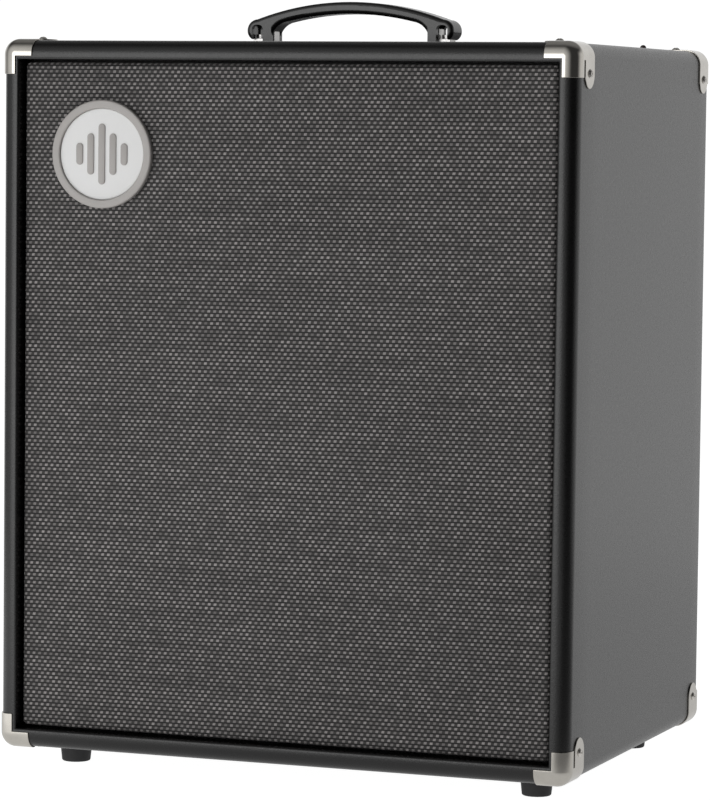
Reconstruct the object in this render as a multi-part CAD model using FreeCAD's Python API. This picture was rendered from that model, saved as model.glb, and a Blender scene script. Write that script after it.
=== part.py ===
import FreeCAD, Part
import math
import os

# A bass combo amplifier: a vinyl-covered plywood cabinet with a cloth grille, one fifteen inch
# woofer, two port tubes, and an amplifier chassis that hangs under a recess in the top panel.
# Millimetres. X runs left to right, Y front to rear, Z up. The origin is on the floor under the
# middle of the cabinet.

# Cabinet
WIDTH = 500.0
DEPTH = 386.0
HEIGHT = 590.0
FOOT_HEIGHT = 18.0
EDGE_RADIUS = 12.0
VINYL = 0.5
BOARD = 15.0
LIP_CHAMFER = 2.0
BATTEN = 18.0

# Modelling allowances: how far a cutting shape runs past a face, and when two faces are one
OVERSHOOT = 20.0
SAME = 0.01

# Front: the grille panel stands in the front opening, against the baffle
GRILLE_WIDTH = 462.0
GRILLE_HEIGHT = 552.0
GRILLE_RECESS = 8.0
GRILLE_DEPTH = 20.8
GRILLE_STRIP = 25.0
GRILLE_EDGE_RADIUS = 4.0
CLOTH = 0.8
BAFFLE = 18.0

# Badge
BADGE_X = -160.3
BADGE_RISE = 496.7
BADGE_RADIUS = 44.5
BADGE_FACE_RADIUS = 37.5
BADGE_DEPTH = 5.0
BADGE_FACE_DEPTH = 3.0
BADGE_BAR_HEIGHTS = (18.0, 34.0, 50.0, 34.0, 18.0)
BADGE_BAR_WIDTH = 6.0
BADGE_BAR_PITCH = 10.0
BADGE_EMBLEM_RELIEF = 1.0
BADGE_FILLET = 1.5

# Corner protectors: pressed steel, with two lips on the end face and two screwed ears
CORNER_STEEL = 1.2
LIP_LENGTH = 28.0
LIP_WIDTH = 13.0
WRAP = 13.5
EAR_RADIUS = 12.0
EAR_DROP = 24.5
EAR_BAND = 14.0
FRONT_EAR_REACH = 29.0
REAR_EAR_REACH = 24.0

# Wood screws, shared by the corner protectors and the rear panel
SCREW_RADIUS = 2.0
SCREW_LENGTH = 16.0
SCREW_HEAD_RADIUS = 3.8
SCREW_HEAD_HEIGHT = 2.3
SCREW_CROSS_LENGTH = 4.4
SCREW_CROSS_WIDTH = 0.9
SCREW_CROSS_DEPTH = 1.2

# Feet
FOOT_X = 205.5
FOOT_Y = 133.0
FOOT_TOP_RADIUS = 14.0
FOOT_BASE_RADIUS = 12.0
FOOT_RECESS_RADIUS = 5.5
FOOT_RECESS_DEPTH = 7.0
FOOT_SCREW_RADIUS = 2.5
FOOT_SCREW_HEAD_RADIUS = 4.5
FOOT_SCREW_HEAD_HEIGHT = 3.0
FOOT_SCREW_LENGTH = 24.0
FOOT_FILLET = 1.5

# Handle: a moulded grip whose forked ends slide 5 mm up and down on two fixed pins.
# Each end has a hooked outer wall and a window that shows the bracket and its bolt.
HANDLE_Y = -29.0
GRIP_WIDTH = 26.0
GRIP_RISE = 36.3
GRIP_THICKNESS = 10.1
HOOD_X = 93.0
HOOD_SHOULDER_X = 84.0
HOOD_SHOULDER_RISE = 21.6
HOOD_BEND = (90.7, 18.3)
HOOD_SIDE_RISE = 12.5
HOOD_CURL = (91.8, 7.6)
HOOD_BASE_X = 89.0
HOOD_BASE_RISE = 4.8
LEG_OUTER_X = 78.0
LEG_INNER_X = 70.5
LEG_BASE_RISE = 0.6
LEG_SIDE_RISE = 8.0
LEG_BEND = (66.6, 14.7)
RIM_MARGIN = 1.0
WINDOW_OUTER_X = 88.0
WINDOW_RISE = 17.0
WINDOW_CORNER = 4.0
ARCH_X = 58.0
ARCH_RISE = 19.4
GRIP_FILLET = 3.5
CAVITY_HALF_WIDTH = 7.5
CAVITY_INNER_X = 69.0
CAVITY_OUTER_X = 89.3
CAVITY_RISE = 17.0
PIN_X = 74.2
PIN_RISE = 11.0
PIN_RADIUS = 2.0
PIN_HALF_LENGTH = 9.8
PIN_PLAY = 0.2
HANDLE_LIFT = 5.0
LUG_HALF_WIDTH = 6.0
LUG_RISE = 14.0
LUG_INNER_X = 70.0
LUG_OUTER_X = 78.4
BRACKET_BASE_RISE = 3.5
PEDESTAL_INNER_X = 78.4
PEDESTAL_OUTER_X = 88.7
PEDESTAL_HALF_WIDTH = 6.8
PEDESTAL_RISE = 5.5
BOLT_X = 83.9
BOLT_RADIUS = 3.0
BOLT_HEAD_RADIUS = 4.7
BOLT_HEAD_HEIGHT = 3.5
BOLT_PROUD = 1.0
NUT_ACROSS_CORNERS = 11.0
NUT_HEIGHT = 5.0

# Woofer: radii, and depths behind the front face of the baffle
WOOFER_RISE = 244.0
CUTOUT_RADIUS = 180.0
FLANGE_RADIUS = 194.0
FLANGE_THICKNESS = 4.0
SURROUND_SEAT_DEPTH = -1.0
BASKET_WALL_FRONT = (175.5, 13.0)
BASKET_WALL_BACK = (89.0, 97.0)
BASKET_PROFILE = (
    (FLANGE_RADIUS, -FLANGE_THICKNESS), (FLANGE_RADIUS, 0.0), (179.0, 0.0), (179.0, 14.0),
    (94.0, 97.0), (94.0, 100.0), (42.0, 100.0), (42.0, 97.0), BASKET_WALL_BACK, BASKET_WALL_FRONT,
    (175.5, SURROUND_SEAT_DEPTH), (182.0, SURROUND_SEAT_DEPTH), (182.0, -FLANGE_THICKNESS),
)
BASKET_WINDOWS = 6
WINDOW_DEPTHS = (22.0, 86.0)
WINDOW_RADII = (85.0, 176.0)
WINDOW_HALF_WIDTHS = (24.0, 62.0)
COIL_INNER_RADIUS = 38.0
COIL_OUTER_RADIUS = 38.8
COIL_DEPTHS = (60.0, 112.0)
CONE_RADIUS = 152.0
CONE_PROFILE = ((152.0, 1.0), (152.0, 2.6), (38.8, 68.0), (38.8, 66.2))
SURROUND_OUTER_RADIUS = 174.0
SURROUND_LIP_RADIUS = 181.0
SURROUND_THICKNESS = 0.9
SURROUND_CLEARANCE = 0.3
DUST_CAP_RADIUS = 52.0
DUST_CAP_RISE = 16.0
DUST_CAP_THICKNESS = 1.0
DUST_CAP_DEPTH = 58.4
SPIDER_DEPTH = 80.0
SPIDER_THICKNESS = 1.0
SPIDER_INNER_RADIUS = 39.2
TOP_PLATE_RADII = (39.8, 85.0)
TOP_PLATE_DEPTHS = (100.0, 108.0)
MAGNET_RADII = (45.0, 88.0)
MAGNET_DEPTHS = (108.0, 130.0)
BACK_PLATE_RADIUS = 85.0
BACK_PLATE_DEPTHS = (130.0, 140.0)
POLE_RADIUS = 37.2
POLE_DEPTH = 101.0
VENT_RADIUS = 12.0
WOOFER_SCREWS = 8
WOOFER_SCREW_CIRCLE = 188.0
WOOFER_SCREW_RADIUS = 2.5
WOOFER_SCREW_HEAD_RADIUS = 4.2
WOOFER_SCREW_HEAD_HEIGHT = 3.0
WOOFER_SCREW_LENGTH = 20.0

# Port tubes
PORT_X = 155.0
PORT_RISE = 480.0
PORT_RADIUS = 38.0
PORT_WALL = 2.5
PORT_FLANGE_RADIUS = 46.0
PORT_FLANGE_THICKNESS = 3.0
PORT_LENGTH = 110.0

# Control recess and amplifier chassis
RECESS_WIDTH = 400.0
RECESS_DEPTH = 92.0
RECESS_Y = 110.0
CHASSIS_WIDTH = 424.0
CHASSIS_DEPTH = 112.0
CHASSIS_HEIGHT = 58.0
CHASSIS_STEEL = 1.5
PANEL_STEEL = 1.5
KNOB_NAMES = ("gain_knob", "bass_knob", "middle_knob", "treble_knob", "master_knob")
KNOB_PITCH = 50.0
KNOB_BASE_RADIUS = 9.5
KNOB_TOP_RADIUS = 8.0
KNOB_HEIGHT = 12.5
KNOB_GAP = 2.5
KNOB_SHAFT_PLAY = 0.06
KNOB_BORE_CLEARANCE = 0.5
KNOB_FILLET = 1.0
KNOB_POINTER_WIDTH = 1.4
KNOB_POINTER_DEPTH = 0.8
KNOB_POINTER_INNER = 1.5
POT_RADIUS = 8.0
POT_HEIGHT = 9.0
POT_BUSH_RADIUS = 3.45
POT_BUSH_HEIGHT = 4.5
POT_NUT_RADIUS = 5.0
POT_NUT_HEIGHT = 2.0
POT_SHAFT_RADIUS = 3.0
POT_SHAFT_HEIGHT = 11.0
BUTTON_X = 135.0
BUTTON_RADIUS = 4.5
BUTTON_GAP = 2.2
BUTTON_HEIGHT = 5.0
BUTTON_FILLET = 0.8
BUTTON_STEM_RADIUS = 2.5
BUTTON_STEM_LENGTH = 9.0
BUTTON_HOLE_RADIUS = 2.6
TOP_JACK_X = 172.0
JACK_BODY_RADIUS = 7.5
JACK_BODY_LENGTH = 34.0
JACK_BUSH_RADIUS = 4.7
JACK_BUSH_LENGTH = 6.5
JACK_NUT_ACROSS_CORNERS = 13.5
JACK_NUT_HEIGHT = 2.4
JACK_BORE_RADIUS = 3.25
JACK_BORE_DEPTH = 28.0
BOARD_HALF_WIDTH = 130.0
BOARD_HALF_DEPTH = 45.0
BOARD_DROP = 17.4
CIRCUIT_BOARD = 1.6
PILLAR_RADIUS = 3.0
PILLAR_INSET = 8.0
CAPACITOR_RADIUS = 9.0
CAPACITOR_HEIGHT = 30.0
CAPACITOR_X = (65.0, 90.0, 115.0)
CAPACITOR_Y = (-22.0, 4.0)
TOROID_RADII = (8.0, 42.0)
TOROID_HEIGHT = 34.0
TOROID_FILLET = 8.0
LAMP_X = 217.0
LAMP_Y = 97.0
LAMP_BODY_RADIUS = 4.0
LAMP_BODY_LENGTH = 24.0
LAMP_BEZEL_RADIUS = 5.2
LAMP_BEZEL_HEIGHT = 1.2
LAMP_DOME_RADIUS = 2.8

# Rear panel and its connectors
REAR_PANEL = 12.0
REAR_RECESS = 10.0
REAR_CUTOUT_WIDTH = 220.0
REAR_CUTOUT_HEIGHT = 36.0
PLATE_WIDTH = 244.0
PLATE_HEIGHT = 56.0
PLATE_RISE = 544.0
INLET_X = -80.0
INLET_FLANGE = (31.0, 25.0, 2.5)
INLET_BODY = (27.0, 20.0, 26.0)
INLET_SOCKET = (24.0, 16.6, 20.0)
INLET_BLADE = (2.0, 4.0, 14.0)
INLET_BLADE_PLACES = ((-7.0, -2.0), (7.0, -2.0), (0.0, 2.0))
SWITCH_X = -30.0
SWITCH_FLANGE = (21.0, 29.0, 2.0)
SWITCH_BODY = (19.0, 26.0, 17.0)
ROCKER_WIDTH = 12.4
ROCKER_RADIUS = 9.0
ROCKER_PLAY = 0.3
ROCKER_PIVOT_OUT = 1.0
ROCKER_FACE_OUT = 4.6
ROCKER_DISH = 12.0
ROCKER_TILT = 10.0
PIVOT_RADIUS = 1.5
PIVOT_PLAY = 0.06
PIVOT_LENGTH = 2.0
PIVOT_END_PLAY = 0.1
REAR_JACK_PLACES = (45.0, 85.0)
REAR_SCREW_INSET = 24.5
REAR_SCREW_RISES = (45.0, 165.0, 295.0, 425.0, 545.0)
REAR_SCREW_BOTTOM_X = (-120.0, 0.0, 120.0)

V = FreeCAD.Vector
X_AXIS = V(1, 0, 0)
Y_AXIS = V(0, 1, 0)
Z_AXIS = V(0, 0, 1)

FLOOR = FOOT_HEIGHT
TOP = FLOOR + HEIGHT
MIDDLE = FLOOR + HEIGHT / 2
FRONT = -DEPTH / 2
REAR = DEPTH / 2
INNER_X = WIDTH / 2 - VINYL - BOARD
INNER_LOW = FLOOR + VINYL + BOARD
INNER_HIGH = TOP - VINYL - BOARD
GRILLE_FRONT = FRONT + GRILLE_RECESS
BAFFLE_FRONT = GRILLE_FRONT + GRILLE_DEPTH
BAFFLE_REAR = BAFFLE_FRONT + BAFFLE
REAR_FACE = REAR - REAR_RECESS
REAR_INSIDE = REAR_FACE - REAR_PANEL
CONTROL_FACE = INNER_HIGH
CONTROL_BACK = CONTROL_FACE - PANEL_STEEL
CHASSIS_BASE = CONTROL_BACK - CHASSIS_HEIGHT
PLATE_Z = FLOOR + PLATE_RISE
PLATE_FACE = REAR_FACE + PANEL_STEEL


def block(x, y, z):
    """A box between two limits on each axis."""
    return Part.makeBox(x[1] - x[0], y[1] - y[0], z[1] - z[0], V(x[0], y[0], z[0]))


def rod(radius, start, axis, length):
    """A cylinder from start along axis."""
    return Part.makeCylinder(radius, length, start, axis)


def tube(radii, start, axis, length):
    """A round tube of inner and outer radius from start along axis."""
    return rod(radii[1], start, axis, length).cut(rod(radii[0], start, axis, length))


def joined(solids):
    """One shape from solids that touch or overlap."""
    whole = solids[0].fuse(list(solids[1:])) if len(solids) > 1 else solids[0]
    return whole.removeSplitter()


def rounded_block(grow):
    """The cabinet's outer block, grown or shrunk on every side, with all edges rounded."""
    x = WIDTH / 2 + grow
    y = DEPTH / 2 + grow
    body = block((-x, x), (-y, y), (FLOOR - grow, TOP + grow))
    return body.makeFillet(EDGE_RADIUS + grow, body.Edges)


def flared_opening(spread, face, inside):
    """The opening at one end of the cabinet, flared by a chamfer at its mouth."""
    half_x = INNER_X - VINYL + spread
    half_z = (INNER_HIGH - INNER_LOW) / 2 - VINYL + spread
    outward = math.copysign(1.0, face)

    def outline(y, grow):
        x = half_x + grow
        z = half_z + grow
        low = MIDDLE - z
        high = MIDDLE + z
        corners = [V(-x, y, low), V(x, y, low), V(x, y, high), V(-x, y, high)]
        return Part.makePolygon(corners + corners[:1])

    throat = face - outward * LIP_CHAMFER
    mouth = Part.makeLoft([outline(face, LIP_CHAMFER), outline(throat, 0.0)], True, True)
    hole = block((-half_x, half_x), sorted((face, inside)), (MIDDLE - half_z, MIDDLE + half_z))
    return hole.fuse(mouth)


def about_y(profile, rise):
    """A ring turned about the woofer's axis, from (radius, depth behind the baffle face) points."""
    points = [V(radius, BAFFLE_FRONT + depth, rise) for radius, depth in profile]
    face = Part.Face(Part.makePolygon(points + points[:1]))
    return face.revolve(V(0, 0, rise), Y_AXIS, 360)


def from_corner(u, v, w):
    """A box given by its distances inwards from the side, end and top faces."""
    return block(
        (WIDTH / 2 - u[1], WIDTH / 2 - u[0]),
        (DEPTH / 2 - v[1], DEPTH / 2 - v[0]),
        (TOP - w[1], TOP - w[0]),
    )


def mirrored(shape, side, end, level):
    """The shape moved to another corner of the cabinet by reflections through its middle."""
    if side < 0:
        shape = shape.mirror(V(0, 0, 0), X_AXIS)
    if end < 0:
        shape = shape.mirror(V(0, 0, 0), Y_AXIS)
    if level < 0:
        shape = shape.mirror(V(0, 0, MIDDLE), Z_AXIS)
    return shape


def wood_screw(seat, outward):
    """A domed cross-head screw whose head sits on seat and whose shank runs inwards."""
    inward = outward * -1
    shank = rod(SCREW_RADIUS, seat, inward, SCREW_LENGTH)
    drop = (SCREW_HEAD_RADIUS**2 - SCREW_HEAD_HEIGHT**2) / (2 * SCREW_HEAD_HEIGHT)
    ball = Part.makeSphere(SCREW_HEAD_HEIGHT + drop, seat - outward * drop)
    head = ball.common(rod(OVERSHOOT, seat, outward, OVERSHOOT))
    sideways = X_AXIS if outward.x == 0 else Y_AXIS
    across = outward.cross(sideways)
    floor_of_cross = seat + outward * (SCREW_HEAD_HEIGHT - SCREW_CROSS_DEPTH)
    for along, wide in ((sideways, across), (across, sideways)):
        start = floor_of_cross - along * (SCREW_CROSS_LENGTH / 2) - wide * (SCREW_CROSS_WIDTH / 2)
        base = Part.makePolygon([
            start,
            start + along * SCREW_CROSS_LENGTH,
            start + along * SCREW_CROSS_LENGTH + wide * SCREW_CROSS_WIDTH,
            start + wide * SCREW_CROSS_WIDTH,
            start,
        ])
        head = head.cut(Part.Face(base).extrude(outward * SCREW_HEAD_HEIGHT))
    return head.fuse(shank).removeSplitter()


def corner_protector(reach):
    """A protector for the right rear top corner, with its ears at a reach from the end face."""
    long = (-OVERSHOOT, LIP_LENGTH)
    narrow = (-OVERSHOOT, LIP_WIDTH)
    wrap = (-OVERSHOOT, WRAP)
    skin = (-OVERSHOOT, EDGE_RADIUS)
    ear = (reach - EAR_RADIUS, reach + EAR_RADIUS)
    whole_ear = (-OVERSHOOT, reach + EAR_RADIUS)
    drop = (-OVERSHOOT, EAR_DROP)
    band = (-OVERSHOOT, EAR_BAND)
    ear_y = DEPTH / 2 - reach
    side_ear = V(WIDTH / 2 - EDGE_RADIUS, ear_y, TOP - EAR_DROP)
    end_ear = V(WIDTH / 2 - EAR_DROP, ear_y, TOP - EDGE_RADIUS)
    ear_height = EDGE_RADIUS + OVERSHOOT
    footprint = from_corner(long, wrap, narrow).fuse([
        from_corner(narrow, wrap, long),
        from_corner(skin, wrap, long),
        from_corner(long, wrap, skin),
        from_corner(skin, ear, drop),
        from_corner(drop, ear, skin),
        from_corner(skin, whole_ear, band),
        from_corner(band, whole_ear, skin),
        rod(EAR_RADIUS, side_ear, X_AXIS, ear_height),
        rod(EAR_RADIUS, end_ear, Z_AXIS, ear_height),
    ])
    return rounded_block(CORNER_STEEL).common(footprint).cut(rounded_block(0.0)).removeSplitter()


def corner_screws(reach):
    """The two screws of the right rear top protector."""
    ear_y = DEPTH / 2 - reach
    side = wood_screw(V(WIDTH / 2 + CORNER_STEEL, ear_y, TOP - EAR_DROP), X_AXIS)
    top = wood_screw(V(WIDTH / 2 - EAR_DROP, ear_y, TOP + CORNER_STEEL), Z_AXIS)
    return [side, top]


def make_corners():
    """Eight protectors and their sixteen screws."""
    nodes = {}
    screws = []
    for end, end_name, reach in ((-1, "front", FRONT_EAR_REACH), (1, "rear", REAR_EAR_REACH)):
        plain = corner_protector(reach)
        own_screws = corner_screws(reach)
        drilled = plain.cut(own_screws)
        for level, level_name in ((1, "top"), (-1, "bottom")):
            for side, side_name in ((-1, "left"), (1, "right")):
                name = f"corner_{end_name}_{level_name}_{side_name}"
                nodes[name] = mirrored(drilled, side, end, level)
                screws += [mirrored(screw, side, end, level) for screw in own_screws]
    return nodes, screws


def make_feet():
    """Four tapered rubber feet, each with a screw sunk in its base."""
    nodes = {}
    screws = []
    for end, end_name in ((-1, "front"), (1, "rear")):
        for side, side_name in ((-1, "left"), (1, "right")):
            base = V(side * FOOT_X, end * FOOT_Y, 0)
            foot = Part.makeCone(FOOT_BASE_RADIUS, FOOT_TOP_RADIUS, FOOT_HEIGHT, base)
            rim = [edge for edge in foot.Edges if edge.BoundBox.ZMax < SAME]
            foot = foot.makeFillet(FOOT_FILLET, rim)
            foot = foot.cut(rod(FOOT_RECESS_RADIUS, base, Z_AXIS, FOOT_RECESS_DEPTH))
            under_head = base + V(0, 0, FOOT_RECESS_DEPTH)
            shank = rod(FOOT_SCREW_RADIUS, under_head, Z_AXIS, FOOT_SCREW_LENGTH)
            head = rod(FOOT_SCREW_HEAD_RADIUS, under_head, Z_AXIS * -1, FOOT_SCREW_HEAD_HEIGHT)
            screws.append(shank.fuse(head).removeSplitter())
            nodes[f"foot_{end_name}_{side_name}"] = foot.cut(shank)
    return nodes, screws


def grip_profile():
    """The side view of the grip: an arch with a hooked end and a leg on each side."""
    def at(x, rise):
        return V(x, HANDLE_Y - GRIP_WIDTH / 2, TOP + rise)

    def arc(*points):
        return Part.Arc(*points).toShape()

    def line(a, b):
        return Part.LineSegment(a, b).toShape()

    crown = at(0, GRIP_RISE)
    under_crown = at(0, GRIP_RISE - GRIP_THICKNESS)
    shoulders = [at(side * HOOD_SHOULDER_X, HOOD_SHOULDER_RISE) for side in (1, -1)]
    springs = [at(side * ARCH_X, ARCH_RISE) for side in (1, -1)]
    edges = [arc(shoulders[1], crown, shoulders[0]), arc(springs[0], under_crown, springs[1])]
    for side, shoulder, spring in zip((1, -1), shoulders, springs):
        hood_top = at(side * HOOD_X, HOOD_SIDE_RISE)
        corners = [
            at(side * HOOD_BASE_X, HOOD_BASE_RISE),
            at(side * LEG_OUTER_X, HOOD_BASE_RISE),
            at(side * LEG_OUTER_X, LEG_BASE_RISE),
            at(side * LEG_INNER_X, LEG_BASE_RISE),
            at(side * LEG_INNER_X, LEG_SIDE_RISE),
        ]
        edges.append(arc(shoulder, at(side * HOOD_BEND[0], HOOD_BEND[1]), hood_top))
        edges.append(arc(hood_top, at(side * HOOD_CURL[0], HOOD_CURL[1]), corners[0]))
        edges += [line(a, b) for a, b in zip(corners, corners[1:])]
        edges.append(arc(corners[-1], at(side * LEG_BEND[0], LEG_BEND[1]), spring))
    return Part.Wire(Part.__sortEdges__(edges))


def rounded_rims(grip, faces_out):
    """The grip's outline edges on its two side faces, without those of its legs and windows."""
    rims = []
    for edge in grip.Edges:
        box = edge.BoundBox
        middle = edge.CenterOfMass
        on_face = any(abs(box.YMin - y) < SAME and abs(box.YMax - y) < SAME for y in faces_out)
        between = LEG_INNER_X - RIM_MARGIN < abs(middle.x) < HOOD_BASE_X + RIM_MARGIN
        at_window = between and middle.z < TOP + WINDOW_RISE + RIM_MARGIN
        if on_face and not at_window:
            rims.append(edge)
    return rims


def make_handle():
    """The sliding grip, its two brackets, their pins, and the bolts and nuts that hold them."""
    grip = Part.Face(grip_profile()).extrude(V(0, GRIP_WIDTH, 0))
    faces_out = (HANDLE_Y - GRIP_WIDTH / 2, HANDLE_Y + GRIP_WIDTH / 2)
    nodes = {}
    pins = []
    bolts = []
    for side, name in ((-1, "left"), (1, "right")):
        def across(low, high):
            return sorted((side * low, side * high))

        cavity = block(
            across(CAVITY_INNER_X, CAVITY_OUTER_X),
            (HANDLE_Y - CAVITY_HALF_WIDTH, HANDLE_Y + CAVITY_HALF_WIDTH),
            (TOP, TOP + CAVITY_RISE),
        )
        window = block(
            across(LEG_OUTER_X, WINDOW_OUTER_X),
            (faces_out[0] - OVERSHOOT, faces_out[1] + OVERSHOOT),
            (TOP - OVERSHOOT, TOP + WINDOW_RISE),
        )
        window_top = [
            edge for edge in window.Edges
            if edge.BoundBox.ZMin > TOP + WINDOW_RISE - SAME and edge.BoundBox.XLength < SAME
        ]
        window = window.makeFillet(WINDOW_CORNER, window_top)
        reach = PIN_RADIUS + PIN_PLAY
        slot_half = PIN_HALF_LENGTH + PIN_PLAY
        slot_start = V(side * PIN_X, HANDLE_Y - slot_half, TOP + PIN_RISE)
        slot = rod(reach, slot_start, Y_AXIS, 2 * slot_half).fuse([
            rod(reach, slot_start - V(0, 0, HANDLE_LIFT), Y_AXIS, 2 * slot_half),
            block(
                across(PIN_X - reach, PIN_X + reach),
                (HANDLE_Y - slot_half, HANDLE_Y + slot_half),
                (TOP + PIN_RISE - HANDLE_LIFT, TOP + PIN_RISE),
            ),
        ])
        grip = grip.cut([cavity, window, slot])
        pin_start = V(side * PIN_X, HANDLE_Y - PIN_HALF_LENGTH, TOP + PIN_RISE)
        pin = rod(PIN_RADIUS, pin_start, Y_AXIS, 2 * PIN_HALF_LENGTH)
        pins.append(pin)
        bolt_seat = V(side * BOLT_X, HANDLE_Y, TOP + PEDESTAL_RISE)
        shank_length = PEDESTAL_RISE + VINYL + BOARD + NUT_HEIGHT + BOLT_PROUD
        shank = rod(BOLT_RADIUS, bolt_seat, Z_AXIS * -1, shank_length)
        head = rod(BOLT_HEAD_RADIUS, bolt_seat, Z_AXIS, BOLT_HEAD_HEIGHT)
        nut_top = V(side * BOLT_X, HANDLE_Y, INNER_HIGH)
        nut = hexagon(nut_top, Z_AXIS * -1, NUT_ACROSS_CORNERS, NUT_HEIGHT)
        bolts += [shank.fuse(head).removeSplitter(), nut.cut(shank)]
        bracket = joined([
            block(
                across(LUG_INNER_X, PEDESTAL_OUTER_X),
                (HANDLE_Y - LUG_HALF_WIDTH, HANDLE_Y + LUG_HALF_WIDTH),
                (TOP, TOP + BRACKET_BASE_RISE),
            ),
            block(
                across(LUG_INNER_X, LUG_OUTER_X),
                (HANDLE_Y - LUG_HALF_WIDTH, HANDLE_Y + LUG_HALF_WIDTH),
                (TOP, TOP + LUG_RISE),
            ),
            block(
                across(PEDESTAL_INNER_X, PEDESTAL_OUTER_X),
                (HANDLE_Y - PEDESTAL_HALF_WIDTH, HANDLE_Y + PEDESTAL_HALF_WIDTH),
                (TOP, TOP + PEDESTAL_RISE),
            ),
        ])
        nodes[f"handle_bracket_{name}"] = bracket.cut([pin, shank])
    nodes["handle_grip"] = grip.makeFillet(GRIP_FILLET, rounded_rims(grip, faces_out))
    nodes["handle_pins"] = Part.makeCompound(pins)
    return nodes, bolts


def hexagon(centre, axis, across_corners, height):
    """A hexagonal prism from centre along axis."""
    sideways = X_AXIS if axis.x == 0 else Y_AXIS
    other = axis.cross(sideways)
    corners = []
    for angle in (math.radians(degrees) for degrees in range(0, 360, 60)):
        spread = sideways * math.cos(angle) + other * math.sin(angle)
        corners.append(centre + spread * (across_corners / 2))
    return Part.Face(Part.makePolygon(corners + corners[:1])).extrude(axis * height)


def make_cabinet(cutters):
    """The boards, the battens behind the baffle and rear panel, and the vinyl skin."""
    lining_front = flared_opening(0.0, FRONT, BAFFLE_FRONT)
    lining_rear = flared_opening(0.0, REAR, REAR_FACE)
    cavity = block((-INNER_X, INNER_X), (BAFFLE_FRONT, REAR_FACE), (INNER_LOW, INNER_HIGH))
    recess_y = (RECESS_Y - RECESS_DEPTH / 2, RECESS_Y + RECESS_DEPTH / 2)
    recess = block((-RECESS_WIDTH / 2, RECESS_WIDTH / 2), recess_y, (INNER_HIGH, TOP + OVERSHOOT))
    wide_recess = block(
        (-RECESS_WIDTH / 2 - VINYL, RECESS_WIDTH / 2 + VINYL),
        (recess_y[0] - VINYL, recess_y[1] + VINYL),
        (INNER_HIGH, TOP + OVERSHOOT),
    )
    whole = rounded_block(0.0).cut([lining_front, lining_rear, cavity, recess])
    bare = rounded_block(-VINYL).cut([
        flared_opening(VINYL, FRONT, BAFFLE_FRONT),
        flared_opening(VINYL, REAR, REAR_FACE),
        cavity,
        wide_recess,
    ])
    vinyl = whole.cut(bare).cut(cutters)
    bare = bare.cut(cutters)
    between = (-INNER_X, INNER_X)
    all_y = (FRONT - OVERSHOOT, REAR + OVERSHOOT)
    all_z = (FLOOR - OVERSHOOT, TOP + OVERSHOOT)
    nodes = {
        "left_side_panel": bare.common(block((-WIDTH, -INNER_X), all_y, all_z)),
        "right_side_panel": bare.common(block((INNER_X, WIDTH), all_y, all_z)),
        "top_panel": bare.common(block(between, all_y, (INNER_HIGH, TOP + OVERSHOOT))),
        "bottom_panel": bare.common(block(between, all_y, (FLOOR - OVERSHOOT, INNER_LOW))),
        "vinyl_covering": vinyl,
    }
    strips = []
    narrow_x = INNER_X - BATTEN
    for low_y in (BAFFLE_REAR, REAR_INSIDE - BATTEN):
        y = (low_y, low_y + BATTEN)
        strips += [
            block((-INNER_X, -narrow_x), y, (INNER_LOW, INNER_HIGH)),
            block((narrow_x, INNER_X), y, (INNER_LOW, INNER_HIGH)),
            block((-narrow_x, narrow_x), y, (INNER_LOW, INNER_LOW + BATTEN)),
        ]
    strips.append(block(
        (-narrow_x, narrow_x), (BAFFLE_REAR, BAFFLE_REAR + BATTEN), (INNER_HIGH - BATTEN, INNER_HIGH),
    ))
    nodes["panel_battens"] = Part.makeCompound([strip.cut(cutters) for strip in strips])
    return nodes


def make_grille():
    """The grille frame, the cloth stretched over it, and the badge on the cloth."""
    def tray(inset, back):
        x = GRILLE_WIDTH / 2 - inset
        z = GRILLE_HEIGHT / 2 - inset
        body = block((-x, x), (GRILLE_FRONT + inset, back), (MIDDLE - z, MIDDLE + z))
        rims = [edge for edge in body.Edges if edge.BoundBox.YMin < back - SAME]
        return body.makeFillet(GRILLE_EDGE_RADIUS - inset, rims)

    inside = tray(CLOTH, BAFFLE_FRONT)
    x = GRILLE_WIDTH / 2 - GRILLE_STRIP
    z = GRILLE_HEIGHT / 2 - GRILLE_STRIP
    hole = block((-x, x), (GRILLE_FRONT, BAFFLE_FRONT), (MIDDLE - z, MIDDLE + z))
    centre = V(BADGE_X, GRILLE_FRONT, FLOOR + BADGE_RISE)
    out = Y_AXIS * -1
    ring = tube((BADGE_FACE_RADIUS, BADGE_RADIUS), centre, out, BADGE_DEPTH)
    rim_y = GRILLE_FRONT - BADGE_DEPTH
    outer_rims = [edge for edge in ring.Edges if edge.BoundBox.YMax < rim_y + SAME]
    face_front = GRILLE_FRONT - BADGE_FACE_DEPTH
    bars = []
    for index, height in enumerate(BADGE_BAR_HEIGHTS):
        bar_x = BADGE_X + (index - (len(BADGE_BAR_HEIGHTS) - 1) / 2) * BADGE_BAR_PITCH
        half = BADGE_BAR_WIDTH / 2
        stem = height / 2 - half
        y = (face_front - BADGE_EMBLEM_RELIEF, face_front)
        bars.append(joined([
            block((bar_x - half, bar_x + half), y, (centre.z - stem, centre.z + stem)),
            rod(half, V(bar_x, face_front, centre.z - stem), out, BADGE_EMBLEM_RELIEF),
            rod(half, V(bar_x, face_front, centre.z + stem), out, BADGE_EMBLEM_RELIEF),
        ]))
    return {
        "grille_frame": inside.cut(hole),
        "grille_cloth": tray(0.0, BAFFLE_FRONT).cut(inside),
        "badge_ring": ring.makeFillet(BADGE_FILLET, outer_rims),
        "badge_face": rod(BADGE_FACE_RADIUS, centre, out, BADGE_FACE_DEPTH),
        "badge_emblem": Part.makeCompound(bars),
    }


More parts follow.
